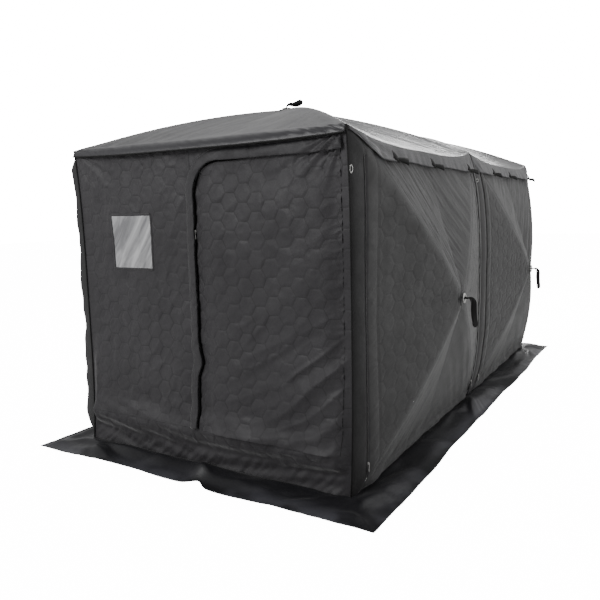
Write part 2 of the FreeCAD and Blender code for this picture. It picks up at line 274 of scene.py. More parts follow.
def tube(name, path, radius, material, sides=10):
    """A round cord or rod along a path, closed at both ends."""
    path = np.asarray(path, float)
    direction = tangents(path)
    reference = np.array([0.31, 0.17, 0.93])
    side = np.cross(direction, reference)
    side /= np.linalg.norm(side, axis=1, keepdims=True)
    up = np.cross(side, direction)
    radius = np.broadcast_to(np.asarray(radius, float), (len(path),))[:, None, None]
    angle = np.linspace(0, 2 * math.pi, sides, endpoint=False)[None, :, None]
    rings = path[:, None, :] + radius * (np.cos(angle) * side[:, None, :]
                                         + np.sin(angle) * up[:, None, :])
    points = rings.reshape(-1, 3)
    faces = []
    for row in range(len(path) - 1):
        for k in range(sides):
            a, b = row * sides + k, row * sides + (k + 1) % sides
            faces.append((a, b, b + sides, a + sides))
    last = (len(path) - 1) * sides
    points = np.vstack([points, path[:1], path[-1:]])
    for k in range(sides):
        faces.append((len(points) - 2, (k + 1) % sides, k))
        faces.append((len(points) - 1, last + k, last + (k + 1) % sides))
    return mesh_piece(name, points, faces, material)


def lathe(name, profile, matrix, material, sides=40):
    """A closed ring of revolution from (radius, height) pairs, placed by a matrix."""
    profile = list(profile)
    points, faces = [], []
    for k in range(sides):
        angle = 2 * math.pi * k / sides
        for radius, height in profile:
            points.append(matrix @ Vector((radius * math.cos(angle), radius * math.sin(angle), height)))
    count = len(profile)
    for k in range(sides):
        for j in range(count):
            a, b = k * count + j, k * count + (j + 1) % count
            c, d = ((k + 1) % sides) * count + (j + 1) % count, ((k + 1) % sides) * count + j
            faces.append((a, d, c, b))
    return mesh_piece(name, points, faces, material)


def rounded_block(name, size, matrix, material, bevel=0.0015):
    """A small block with rounded edges."""
    x, y, z = (s / 2 for s in size)
    corners = [matrix @ Vector((sx * x, sy * y, sz * z)) for sz in (-1, 1) for sy in (-1, 1)
               for sx in (-1, 1)]
    faces = [(0, 2, 3, 1), (4, 5, 7, 6), (0, 1, 5, 4), (2, 6, 7, 3), (0, 4, 6, 2), (1, 3, 7, 5)]
    piece = mesh_piece(name, corners, faces, material)
    modifier = piece.modifiers.new("round", "BEVEL")
    modifier.width, modifier.segments = bevel, 3
    apply_modifiers(piece)
    return piece


def join(name, parts):
    """One piece from several."""
    bpy.context.view_layer.update()
    for other in bpy.context.selected_objects:
        other.select_set(False)
    for part in parts:
        part.select_set(True)
    bpy.context.view_layer.objects.active = parts[0]
    bpy.ops.object.join()
    parts[0].name = name
    parts[0].data.name = name
    return parts[0]


# Materials


def new_material(name):
    """A node material, its tree and its main shader."""
    material = bpy.data.materials.new(name)
    material.use_nodes = True
    tree = material.node_tree
    return material, tree, tree.nodes["Principled BSDF"]


def link(tree, source, target):
    """Joins an output to an input."""
    tree.links.new(source, target)


def add_node(tree, kind, **values):
    """A node with its properties set; keys naming inputs are set on the inputs."""
    node = tree.nodes.new(kind)
    for key, value in values.items():
        if hasattr(node, key):
            setattr(node, key, value)
        else:
            node.inputs[key.replace("_", " ")].default_value = value
    return node


def noise_node(tree, place, scale, detail=3.0, rough=0.55):
    """A noise texture; gives its value."""
    node = add_node(tree, "ShaderNodeTexNoise", Scale=scale, Detail=detail, Roughness=rough)
    link(tree, place, node.inputs["Vector"])
    return node.outputs["Fac"]


def ramp(tree, source, low, high, low_colour, high_colour):
    """A colour ramp between two stops."""
    node = tree.nodes.new("ShaderNodeValToRGB")
    node.color_ramp.elements[0].position = low
    node.color_ramp.elements[1].position = high
    node.color_ramp.elements[0].color = (*low_colour, 1)
    node.color_ramp.elements[1].color = (*high_colour, 1)
    link(tree, source, node.inputs["Fac"])
    return node.outputs["Color"]


def weave_height(tree, place, threads):
    """Over-and-under threads: two crossed sets of waves."""
    heights = []
    for direction in ("X", "Y", "Z"):
        wave = add_node(tree, "ShaderNodeTexWave", bands_direction=direction, Scale=threads,
                        Distortion=0.6, Detail=1.0)
        link(tree, place, wave.inputs["Vector"])
        heights.append(wave.outputs["Fac"])
    total = heights[0]
    for height in heights[1:]:
        total = math_node(tree, "ADD", total, height)
    return total


def math_node(tree, operation, *values):
    """A math node with sockets linked or set; gives its output."""
    node = add_node(tree, "ShaderNodeMath", operation=operation)
    for socket, value in zip(node.inputs, values):
        if isinstance(value, (int, float)):
            socket.default_value = value
        else:
            link(tree, value, socket)
    return node.outputs[0]


def step_node(tree, value, low, high):
    """0 below low, 1 above high, smooth between."""
    node = add_node(tree, "ShaderNodeMapRange", interpolation_type="SMOOTHSTEP", From_Min=low,
                    From_Max=high)
    link(tree, value, node.inputs["Value"])
    return node.outputs["Result"]


def stitch_nodes(tree, place, across):
    """Distance in metres to the quilt's stitch lines, in the plane of one axis and Z."""
    split = tree.nodes.new("ShaderNodeSeparateXYZ")
    link(tree, place, split.inputs[0])
    aside, up = split.outputs[across], split.outputs["Z"]
    flat = (aside, up)
    warped = [aside, up]
    for axis, amount, rate, phase in QUILT_WAVES:
        turn = math_node(tree, "ADD", math_node(tree, "MULTIPLY", flat[1 - axis], rate), phase)
        shift = math_node(tree, "MULTIPLY", math_node(tree, "SINE", turn), amount)
        warped[axis] = math_node(tree, "ADD", warped[axis], shift)
    x, y = (math_node(tree, "DIVIDE", value, HEX_SIZE) for value in warped)
    half = math.sqrt(3) / 2
    norms = []
    for shift in (0.0, 1.0):
        dx = math_node(tree, "SUBTRACT", x, shift * half)
        dy = math_node(tree, "SUBTRACT", y, shift / 2)
        dx = math_node(tree, "ABSOLUTE", math_node(tree, "WRAP", dx, half, -half))
        dy = math_node(tree, "ABSOLUTE", math_node(tree, "WRAP", dy, 0.5, -0.5))
        slant = math_node(tree, "ADD", math_node(tree, "MULTIPLY", dx, half),
                          math_node(tree, "MULTIPLY", dy, 0.5))
        norms.append(math_node(tree, "MAXIMUM", dy, slant))
    nearest = math_node(tree, "MINIMUM", *norms)
    distance = math_node(tree, "MULTIPLY", math_node(tree, "SUBTRACT", 0.5, nearest), HEX_SIZE)
    if across == "Y":  # only the cloth between the sewn seams is quilted
        inset = math_node(tree, "ABSOLUTE", math_node(tree, "SUBTRACT", math_node(tree, "ABSOLUTE", aside),
                                                      HALF_CUBE))
        plain = step_node(tree, inset, HALF_CUBE - SEAM_INSET - 0.004, HALF_CUBE - SEAM_INSET)
    else:
        plain = step_node(tree, up, 0.15, 0.12)
    return math_node(tree, "ADD", distance, plain)


# Painted reflection: the lighter, bluish colour of the skirt's outer rim.
OUTER_PAINTED_SHEEN = (0.078, 0.078, 0.091, 1)


def painted_sheen_nodes(tree, place):
    """How much painted reflection lightens the skirt: more towards its outer edge and the corners, in
    patches.
    """
    split = tree.nodes.new("ShaderNodeSeparateXYZ")
    link(tree, place, split.inputs[0])
    past_x = math_node(tree, "SUBTRACT", math_node(tree, "ABSOLUTE", split.outputs["X"]), HALF_WIDTH)
    past_y = math_node(tree, "SUBTRACT", math_node(tree, "ABSOLUTE", split.outputs["Y"]), LENGTH)
    outer = step_node(tree, math_node(tree, "MAXIMUM", past_x, past_y), 0.08, 0.27)
    patches = step_node(tree, noise_node(tree, place, 2.6, 3.0), 0.42, 0.6)
    return math_node(tree, "MULTIPLY", outer, patches)


def cloth_material(name, dark, light, roughness=(0.5, 0.7), sheen=0.25, specular=0.35, coat=0.0,
                   crinkle=0.35, threads=260.0, dust=0.35, quilted=None, painted_groove_shade=0.5, painted_outer_sheen=False):
    """Coated woven cloth: threads, fine crinkles, uneven shade, a little dust, stitch lines darkened with
    painted shade in their grooves, and for the skirt a lighter outer rim of painted reflection.
    """
    material, tree, shader = new_material(name)
    place = tree.nodes.new("ShaderNodeTexCoord").outputs["Object"]
    patches = noise_node(tree, place, 2.3, 5.0)
    grain = noise_node(tree, place, 420.0, 2.0)
    mixed = add_node(tree, "ShaderNodeMix", data_type="FLOAT")
    mixed.inputs[0].default_value = dust
    link(tree, patches, mixed.inputs[2])
    link(tree, grain, mixed.inputs[3])
    colour = ramp(tree, mixed.outputs[0], 0.35, 0.68, dark, light)
    stitch = None
    if quilted:
        distance = stitch_nodes(tree, place, quilted)
        stitch = step_node(tree, distance, 0.0, 0.011)
        # The stitch lines get a darker colour: painted shade in their grooves, faded in random patches.
        shade = add_node(tree, "ShaderNodeMix", data_type="RGBA", blend_type="MIX")
        groove_shade_fade = step_node(tree, noise_node(tree, place, 3.1, 3.0), 0.4, 0.62)
        line = step_node(tree, distance, 0.001, 0.004)
        link(tree, math_node(tree, "MAXIMUM", line, math_node(tree, "MULTIPLY", groove_shade_fade, 0.75)),
             shade.inputs[0])
        shade.inputs[6].default_value = (*(c * painted_groove_shade for c in dark), 1)
        link(tree, colour, shade.inputs[7])
        colour = shade.outputs[2]
    # the skirt's lighter outer rim: painted reflection
    if painted_outer_sheen:
        shade = add_node(tree, "ShaderNodeMix", data_type="RGBA", blend_type="MIX")
        link(tree, painted_sheen_nodes(tree, place), shade.inputs[0])
        link(tree, colour, shade.inputs[6])
        shade.inputs[7].default_value = OUTER_PAINTED_SHEEN
        colour = shade.outputs[2]
    link(tree, colour, shader.inputs["Base Color"])

    low, high = roughness
    shine = add_node(tree, "ShaderNodeMapRange", From_Min=0.3, From_Max=0.7, To_Min=low, To_Max=high)
    link(tree, noise_node(tree, place, 7.0, 4.0), shine.inputs["Value"])
    link(tree, shine.outputs["Result"], shader.inputs["Roughness"])

    fine = add_node(tree, "ShaderNodeBump", Strength=0.12, Distance=0.0006)
    link(tree, weave_height(tree, place, threads), fine.inputs["Height"])
    crumpled = add_node(tree, "ShaderNodeBump", Strength=crinkle, Distance=0.006)
    link(tree, noise_node(tree, place, 34.0, 6.0, 0.62), crumpled.inputs["Height"])
    link(tree, fine.outputs["Normal"], crumpled.inputs["Normal"])
    last = crumpled
    if stitch:
        last = add_node(tree, "ShaderNodeBump", Strength=0.3, Distance=0.003)
        link(tree, stitch, last.inputs["Height"])
        link(tree, crumpled.outputs["Normal"], last.inputs["Normal"])
    link(tree, last.outputs["Normal"], shader.inputs["Normal"])

    shader.inputs["Sheen Weight"].default_value = sheen
    shader.inputs["Sheen Roughness"].default_value = 0.4
    shader.inputs["Specular IOR Level"].default_value = specular
    shader.inputs["Coat Weight"].default_value = coat
    shader.inputs["Coat Roughness"].default_value = 0.35
    return material


def plain_material(name, dark, light, roughness, metallic=0.0, scale=60.0, relief=0.15):
    """Moulded plastic, rod or metal: slightly uneven shade, roughness and surface."""
    material, tree, shader = new_material(name)
    place = tree.nodes.new("ShaderNodeTexCoord").outputs["Object"]
    mottle = noise_node(tree, place, scale, 4.0)
    link(tree, ramp(tree, mottle, 0.35, 0.65, dark, light), shader.inputs["Base Color"])
    shine = add_node(tree, "ShaderNodeMapRange", From_Min=0.3, From_Max=0.7,
                     To_Min=roughness * 0.75, To_Max=roughness * 1.25)
    link(tree, mottle, shine.inputs["Value"])
    link(tree, shine.outputs["Result"], shader.inputs["Roughness"])
    uneven = add_node(tree, "ShaderNodeBump", Strength=relief, Distance=0.001)
    link(tree, noise_node(tree, place, scale * 6, 3.0), uneven.inputs["Height"])
    link(tree, uneven.outputs["Normal"], shader.inputs["Normal"])
    shader.inputs["Metallic"].default_value = metallic
    return material


def film_material(name):
    """Clear flexible film over a pale room, wavy and glossy: its pale colour is painted light seen through
    it, streaked with painted highlights.
    """
    material, tree, shader = new_material(name)
    place = tree.nodes.new("ShaderNodeTexCoord").outputs["Object"]
    turn = add_node(tree, "ShaderNodeMapping", vector_type="TEXTURE")
    turn.inputs["Rotation"].default_value = (0.0, math.radians(-56), 0.0)
    turn.inputs["Scale"].default_value = (0.3, 1.0, 0.042)
    link(tree, place, turn.inputs["Vector"])
    # Painted light: pale colour for the bright room behind the film, in diagonal streaks of painted
    # highlight.
    painted_streaks = add_node(tree, "ShaderNodeTexNoise", Scale=1.0, Detail=3.0, Distortion=0.5)
    link(tree, turn.outputs[0], painted_streaks.inputs["Vector"])
    link(tree, ramp(tree, painted_streaks.outputs["Fac"], 0.36, 0.66, (0.27, 0.27, 0.28), (0.63, 0.63, 0.64)),
         shader.inputs["Base Color"])
    waves = add_node(tree, "ShaderNodeBump", Strength=0.5, Distance=0.01)
    link(tree, noise_node(tree, place, 11.0, 3.0), waves.inputs["Height"])
    link(tree, waves.outputs["Normal"], shader.inputs["Normal"])
    shader.inputs["Roughness"].default_value = 0.16
    shader.inputs["Alpha"].default_value = 0.8
    shader.inputs["Coat Weight"].default_value = 0.3
    return material


# The two quilted cloths darken their stitch lines with painted groove shade.
WALL_CLOTH = cloth_material("quilted_cloth", (0.0220, 0.0205, 0.0229), (0.0350, 0.0330, 0.0362),
                            quilted="X", painted_groove_shade=0.72)
PLAIN_CLOTH = cloth_material("plain_cloth", (0.0205, 0.0192, 0.0213), (0.0318, 0.0302, 0.0330))
SIDE_CLOTH = cloth_material("side_cloth", (0.027, 0.0268, 0.0268), (0.040, 0.0395, 0.0395),
                            crinkle=0.22, quilted="Y", painted_groove_shade=0.8)
# A darker copy of the side cloth for the corner strips: painted shade.
CORNER_SHADE_CLOTH = cloth_material("corner_cloth", (0.0120, 0.0118, 0.0122), (0.0200, 0.0196, 0.0202),
                              sheen=0.12, specular=0.3)
SIDE_PLAIN = cloth_material("side_plain_cloth", (0.029, 0.029, 0.029), (0.042, 0.042, 0.042),
                            crinkle=0.2)
ROOF_CLOTH = cloth_material("roof_cloth", (0.016, 0.0155, 0.0185), (0.025, 0.024, 0.028),
                            roughness=(0.3, 0.42), sheen=0.2, specular=0.42, crinkle=0.1)
# The skirt cloth's lighter outer rim is painted reflection.
SKIRT_CLOTH = cloth_material("skirt_cloth", (0.006, 0.006, 0.0075), (0.013, 0.013, 0.0155),
                             roughness=(0.34, 0.46), sheen=0.06, specular=0.32, coat=0.05, crinkle=0.1,
                             painted_outer_sheen=True)
WEBBING = cloth_material("black_webbing", (0.003, 0.003, 0.003), (0.007, 0.007, 0.007),
                         roughness=(0.6, 0.8), sheen=0.05, specular=0.2, crinkle=0.1, threads=700.0)
PIPING = cloth_material("seam_piping", (0.003, 0.003, 0.003), (0.008, 0.008, 0.008),
                        roughness=(0.5, 0.7), sheen=0.0, specular=0.2, crinkle=0.1, threads=500.0)
PLASTIC = plain_material("black_plastic", (0.012, 0.012, 0.012), (0.02, 0.02, 0.02), 0.45)
FIBREGLASS = plain_material("pole_fibreglass", (0.014, 0.014, 0.015), (0.026, 0.026, 0.028), 0.32)
METAL = plain_material("zip_metal", (0.42, 0.42, 0.41), (0.6, 0.6, 0.58), 0.3, metallic=1.0)
FILM = film_material("window_film")


# Panels


class Panel:
    """A hub panel's frame: p and q in its wall plane, h out of it."""

    def __init__(self, name, node, origin, p_axis, q_axis, normal, half_p, half_q, seed):
        self.name, self.node, self.seed = name, node, seed
        self.origin = np.array(origin, float)
        self.axes = np.array([p_axis, q_axis, normal], float)
        self.half_p, self.half_q = half_p, half_q
        self.hub = f"{name}_hub"
        self.roof = name.startswith("roof")
        self.end = -1 if name.endswith("front") else 1
        towards_middle = self.axes[0 if not self.roof else 1][1] * -self.end
        self.middle = 1 if towards_middle > 0 else -1  # side of the panel at the middle seam
        self.corner_bow = SLACK_CORNER_BOW if name == "left_front" else CORNER_BOW

    def world(self, p, q, h):
        """Points in the shelter's frame."""
        return self.origin + np.stack(np.broadcast_arrays(p, q, h), -1) @ self.axes

    def matrix(self, p, q, h):
        """A placement on the panel, with Z out of it."""
        place = self.world(p, q, h)
        turn = Matrix([list(a) for a in self.axes]).transposed().to_4x4()
        return Matrix.Translation(place) @ turn

    def shares(self, p, q):
        """How far in from the upright edges and from the level edges, 0 to 1 at the hub."""
        return 1 - np.abs(p) / self.half_p, 1 - np.abs(q) / self.half_q

    def edge_rise(self, p, q, upright):
        """How far the panel's own edge stands out of the wall plane, at the nearest edge point."""
        if upright:
            if self.roof:
                return -EAVE_SAG * arch_shape(q / self.half_q)
            shape = arch_shape(q / self.half_q, 3.5)
            return np.where(np.sign(p) == self.middle, MIDDLE_BOW, self.corner_bow) * shape
        if not self.roof:
            return np.zeros_like(p)
        shape = arch_shape(p / self.half_p)
        return np.where(np.sign(q) == self.middle, ROOF_MIDDLE_BOW, -FRONT_EAVE_SAG) * shape

    def rise(self, p, q):
        """The cloth's height over the wall plane: taut between its edges and four ridges."""
        p, q = np.broadcast_arrays(np.asarray(p, float), np.asarray(q, float))
        tp, tq = self.shares(p, q)
        upright = tp < tq
        near, far = np.minimum(tp, tq), np.maximum(tp, tq)
        part = np.where(far > 1e-9, near / np.maximum(far, 1e-9), 1.0)
        ridge = HUB_RISE * far + RIDGE_BOW * 4 * far * (1 - far)
        edge = np.where(upright, self.edge_rise(p, q, True), self.edge_rise(p, q, False))
        height = edge * (1 - part) + ridge * part
        gap = np.clip(RIDGE_ROUNDING - (far - near), 0, None)
        rounding = 0.8 * HUB_RISE * gap**2 / (2 * RIDGE_ROUNDING)
        return height - rounding * smooth(0.02, 0.12, near)


def make_panels():
    """The six hub panels."""
    panels = []
    seed = 100
    for end in ("front", "rear"):
        for side, sign in (("right", 1), ("left", -1)):
            node = f"{side}_{end}_side_wall"
            low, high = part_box(node)
            centre = (sign * HALF_WIDTH, (low.y + high.y) / 2, HEIGHT / 2)
            panels.append(Panel(f"{side}_{end}", node, centre, (0, sign, 0), (0, 0, 1), (sign, 0, 0),
                                HALF_CUBE, HEIGHT / 2, seed))
            seed += 20
        node = f"roof_panel_{end}"
        low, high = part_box(node)
        panels.append(Panel(f"roof_{end}", node, (0, (low.y + high.y) / 2, HEIGHT), (1, 0, 0),
                            (0, 1, 0), (0, 0, 1), HALF_WIDTH, HALF_CUBE, seed))
        seed += 20
    return panels


def follow_hub(piece, panel, direction, upright):
    """Bakes the piece's placement into its mesh; the points at the blend's start and end shares are worked
    out but not used.
    """
    half = panel.half_p if upright else panel.half_q
    for share in (BLEND_START, BLEND_END):
        reach = direction * half * (1 - share)
        tuple(panel.world(reach if upright else 0.0, 0.0 if upright else reach, 0.0))
    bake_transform(piece)


def end_corner_relief(panel, p, q):
    """The plain strip, zip band and seam beside an end corner or the middle seam."""
    inset = panel.half_p - np.abs(p)
    fade = smooth(0.0, 0.12, panel.half_q - q) * smooth(0.0, 0.22, panel.half_q + q)
    at_middle = np.sign(p) == panel.middle
    corner_puff = (0.013 if panel.axes[2][0] > 0 else 0.066) * (1.15 - 0.3 * q / panel.half_q)
    puff = np.where(at_middle, 0.012, corner_puff)
    towards_corner = 1.0 if panel.axes[2][0] > 0 else 0.55
    crown = np.clip(inset / ZIP_INSET, 0, 1) ** towards_corner * math.pi
    strip = puff * np.clip(np.sin(crown), 0, 1) ** 0.55
    strip *= 1 + 0.32 * folds(q, inset, 0, 0.22, 0.12, panel.seed)
    zip_line = -0.007 * bump(inset, ZIP_INSET, 0.006)
    band = bump(inset, (ZIP_INSET + SEAM_INSET) / 2, 0.034)
    puckers = band * 0.0045 * folds(q, inset, 62, 0.12, 0.03, panel.seed + 1)
    seam = -0.004 * bump(inset, SEAM_INSET, 0.005)
    return fade * (strip + zip_line + puckers + seam + 0.006 * band)


def panel_relief(panel, p, q, upright):
    """Quilting, folds and creases on a panel facet."""
    tp, tq = panel.shares(p, q)
    near, far = np.minimum(tp, tq), np.maximum(tp, tq)
    inside = smooth(0.0, 0.10, far - near) * smooth(0.0, 0.06, near) * smooth(1.0, 0.93, near)
    seed = panel.seed
    relief = 0.004 * folds(p, q, 20, 0.7, 0.35, seed + 2)
    if panel.roof:
        relief += 0.0022 * folds(p, q, 35 if upright else 80, 0.5, 0.05, seed + 3)
        edge = bump(near, 0.0, 0.10)
        relief += edge * 0.003 * creases(p, q, 55, 0.16, 0.03, seed + 4)
        return relief * inside
    if upright:
        inset = panel.half_p - np.abs(p)
        body = smooth(SEAM_INSET, SEAM_INSET + 0.01, inset)
        spot = panel.world(p, q, 0.0)
        relief += quilting(spot[..., 1], spot[..., 2], 0.0012) * body
        relief += 0.0014 * crumple(p, q, 0.05, seed + 5) * body
        return relief * inside + end_corner_relief(panel, p, q)
    ridge_angle = math.degrees(math.atan2(panel.half_q, panel.half_p))
    if np.mean(q) > 0:
        # the upper facet: fine creases running the way of the end corner's pole
        angle = ridge_angle * panel.middle * -1
        relief += 0.0034 * folds(p, q, angle, 0.4, 0.030, seed + 6)
        relief += 0.0024 * creases(p, q, angle - 8, 0.25, 0.024, seed + 8)
    else:
        for angle, sign in ((ridge_angle, -1), (-ridge_angle, 1)):
            side = smooth(-0.1, 0.3, sign * p)
            relief += side * 0.0045 * folds(p, q, angle, 0.8, 0.06, seed + 9)
        foot = bump(near, 0.0, 0.16)
        relief += foot * 0.012 * folds(p, q, 30, 0.4, 0.07, seed + 10)
        relief += 0.022 * bump(near, 0.075, 0.032) * (1 + 0.5 * noise(p * 4, 0.0, seed + 11))
        relief -= 0.020 * bump(near, 0.028, 0.018)
    return relief * inside + end_corner_relief(panel, p, q)


FACET_STEP = 0.0095
FACETS = (("bottom", -1, False), ("top", 1, False), ("near", -1, True), ("far", 1, True))


def facet_grid(panel, direction, upright):
    """A facet's p and q: rows go in from its outer edge, columns run along it."""
    half_in = panel.half_p if upright else panel.half_q
    half_along = panel.half_q if upright else panel.half_p
    rows = int(HALF_CUBE / FACET_STEP)
    columns = int(2 * half_along / FACET_STEP)
    share = np.linspace(0, 1 - GROMMET_HOLE / half_in, rows + 1)[:, None]
    across = np.linspace(-1, 1, columns + 1)[None, :] * (1 - share) * half_along
    inward = direction * (1 - share) * half_in + 0 * across
    return (inward, across) if upright else (across, inward)


def eave_shift(panel, p, q):
    """How the cloth near a sagging eave moves, as shifts of p, q and h."""
    tp, tq = panel.shares(p, q)
    zero = np.zeros_like(tp + tq)
    if panel.roof:
        side = EAVE_OUT * arch_shape(q / panel.half_q) * (1 - smooth(0, 0.2, tp))
        front = FRONT_EAVE_OUT * arch_shape(p / panel.half_p) * (1 - smooth(0, 0.2, tq))
        outer = np.sign(q) != panel.middle
        return np.sign(p) * side + zero, np.where(outer, np.sign(q) * front, 0) + zero, zero
    pull = arch_shape(p / panel.half_p) * (1 - smooth(0, 0.2, tq)) * (q > 0)
    return zero, -EAVE_SAG * pull, EAVE_OUT * pull


def panel_surface(panel, p, q, upright):
    """World points of a facet's cloth, reliefs included."""
    dp, dq, dh = eave_shift(panel, p, q)
    height = panel.rise(p, q) + dh + panel_relief(panel, p, q, upright)
    return panel.world(p + dp, q + dq, height)


def paint_corner_strip_shade(piece):
    """The strip outside the corner zip gets a darker copy of the cloth: painted shade."""
    piece.data.materials.append(CORNER_SHADE_CLOTH)
    for face in piece.data.polygons:
        if abs(face.center.y) > LENGTH - ZIP_INSET:
            face.material_index = 1


def panel_cloth(panel):
    """The four facets of a hub panel."""
    for place, direction, upright in FACETS:
        material = ROOF_CLOTH if panel.roof else SIDE_CLOTH if upright else SIDE_PLAIN
        p, q = facet_grid(panel, direction, upright)
        points = panel_surface(panel, p, q, upright)
        piece = grid_piece(f"{panel.name}_cloth_{place}", points, material=material)
        if not panel.roof:
            paint_corner_strip_shade(piece)
        follow_hub(piece, panel, direction, upright)
        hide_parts(panel.node)


# End walls


def end_point(end, x, z, out):
    """World points on an end wall: x to the viewer's right, out towards the viewer."""
    x, z, out = np.broadcast_arrays(x, z, out)
    return np.stack([-end * x, end * (LENGTH + out), z], -1)


def door_outline_distance(x, z):
    """Signed distance outside the door's arched outline."""
    inner_left, inner_head = DOOR_LEFT + DOOR_ARCH, DOOR_HEAD - DOOR_ARCH
    dx = np.maximum(DOOR_LEFT - x, x - DOOR_RIGHT)
    dz = np.maximum(DOOR_SILL - z, z - DOOR_HEAD)
    square = np.maximum(dx, dz)
    in_arch = (x < inner_left) & (z > inner_head)
    arch = np.hypot(x - inner_left, z - inner_head) - DOOR_ARCH
    return np.where(in_arch, arch, square)


def wall_edge(end, x, z):
    """How far the end wall's upright edge on the side of x bows outward."""
    bow = np.where((end < 0) & (np.asarray(x) < 0), SLACK_CORNER_BOW, CORNER_BOW)
    return bow * arch_shape(2 * z / HEIGHT - 1, 3.5)


def eave_drop(x):
    """How far the end wall's top edge hangs below the corners."""
    return FRONT_EAVE_SAG * arch_shape(x / HALF_WIDTH)


def end_relief(x, z, seed):
    """The slack, quilted end wall's relief, outward."""
    relief = 0.010 * noise(x * 1.7, z * 1.5, seed) + 0.006 * noise(x * 4, z * 3.2, seed + 1)
    plain = smooth(1.66, 1.5, z) * smooth(HALF_WIDTH - 0.01, HALF_WIDTH - 0.09, np.abs(x))
    faint = 1 - 0.65 * smooth(0.85, 1.3, z) * smooth(0.0, -0.25, x)
    relief += quilting(x, z, 0.0024) * (0.3 + 0.7 * plain) * smooth(0.1, 0.3, z) * faint
    relief += 0.0030 * crumple(x, z, 0.11, seed + 2)
    relief += 0.0022 * folds(x, z, 72, 0.45, 0.075, seed + 15)
    # long slack folds up to the right, strongest low on the door
    low_right = bump(z, 0.55, 0.35) * smooth(0.1, 0.7, x)
    relief += low_right * 0.018 * folds(x, z, 36, 0.9, 0.11, seed + 3)
    relief += low_right * 0.013 * creases(x, z, 33, 0.6, 0.11, seed + 4)
    top_left = smooth(1.0, 1.6, z) * smooth(0.1, -0.4, x)
    relief += top_left * 0.0035 * creases(x, z, 84, 0.35, 0.07, seed + 13)
    relief += 0.0028 * creases(x, z, 60, 0.4, 0.09, seed + 14) * bump(x, -0.2, 0.25)
    # the foot bellies out, then tucks in above the ground
    belly = 0.046 * bump(z, 0.235, 0.085) + 0.022 * bump(z, 0.42, 0.22)
    belly *= 1 + 0.35 * noise(x * 2.6, z * 1.5, seed + 5)
    tuck = smooth(0.105, 0.18, z + 0.012 * noise(x * 3, 0, seed + 6))
    relief += belly * tuck
    foot = smooth(0.45, 0.25, z)
    left_share = smooth(0.15, -0.15, x)
    long_folds = folds(x, z, -15, 0.7, 0.055, seed + 7) * left_share
    long_folds = long_folds + folds(x, z, 7, 0.6, 0.05, seed + 8) * (1 - left_share)
    relief += foot * 0.013 * long_folds
    band = smooth(0.15, 0.11, z)
    relief += band * 0.006 * folds(x, z, 50, 0.12, 0.028, seed + 16)
    relief += 0.020 * smooth(0.13, 0.0, z)
    # gathers from the top corners and below the eave
    for sign in (-1, 1):
        dx, dz = HALF_WIDTH - sign * x, HEIGHT - z
        reach, turn = np.hypot(dx, dz), np.arctan2(dz, dx)
        rays = noise(turn * 7, reach * 1.5, seed + 9 + sign)
        relief += (0.027 + 0.008 * sign) * rays * np.exp(-reach / 0.24) * smooth(0.0, 0.05, reach)
    relief += 0.004 * creases(x, z, 88, 0.12, 0.05, seed + 12) * smooth(1.45, 1.72, z)
    return relief


def door_relief(x, z, seed):
    """What the door adds: gathers along its zip and puckers along its sewn edge."""
    left, right = x - DOOR_LEFT, DOOR_RIGHT - x
    gathers = folds(x, z, 68, 0.11, 0.026, seed + 20) * np.exp(-left / 0.075)
    puckers = creases(x, z, 6, 0.1, 0.03, seed + 21) * np.exp(-right / 0.05)
    puff = 0.018 * smooth(0, 0.16, left) * smooth(0, 0.10, right) * smooth(DOOR_HEAD, 1.45, z)
    return 0.008 * gathers + 0.007 * puckers + puff


def edge_fade(x, z):
    """Holds the cloth to its seams at the wall's upright edges and eave."""
    sides = smooth(0.0, 0.07, HALF_WIDTH - np.abs(x))
    return sides * smooth(0.0, 0.05, HEIGHT - z)


WALL_STEP = 0.0075


def even(low, high):
    """Even grid lines from low to high, both included."""
    return np.linspace(low, high, max(2, int(round((high - low) / WALL_STEP)) + 1))


def grid_lines(*stops):
    """Grid lines that pass through every stop."""
    lines = [even(a, b)[:-1] for a, b in zip(stops, stops[1:])]
    return np.concatenate([*lines, stops[-1:]])


def snapped_to_arch(x, z):
    """Moves the open edge's points at the door's arch onto the arch itself."""
    centre_x, centre_z = DOOR_LEFT + DOOR_ARCH, DOOR_HEAD - DOOR_ARCH
    radius = np.hypot(x - centre_x, z - centre_z)
    near = (x < centre_x) & (z > centre_z) & (np.abs(radius - DOOR_ARCH) < 1.1 * WALL_STEP)
    ratio = np.where(near, DOOR_ARCH / np.maximum(radius, 1e-9), 1.0)
    return centre_x + (x - centre_x) * ratio, centre_z + (z - centre_z) * ratio


def end_wall_shape(end, x, z, seed, door=False):
    """World points for the wall or door cloth."""
    relief = end_relief(x, z, seed) * edge_fade(x, z)
    if door:
        relief = relief + door_relief(x, z, seed)
    stretched_x = x * (1 + wall_edge(end, x, z) / HALF_WIDTH)
    stretched_x = stretched_x + ZIP_KINK * bump(z, 0.62, 0.06) * bump(x, DOOR_LEFT, 0.09)
    lowered_z = z - eave_drop(x) * smooth(1.2, HEIGHT, z)
    return end_point(end, stretched_x, lowered_z, relief)


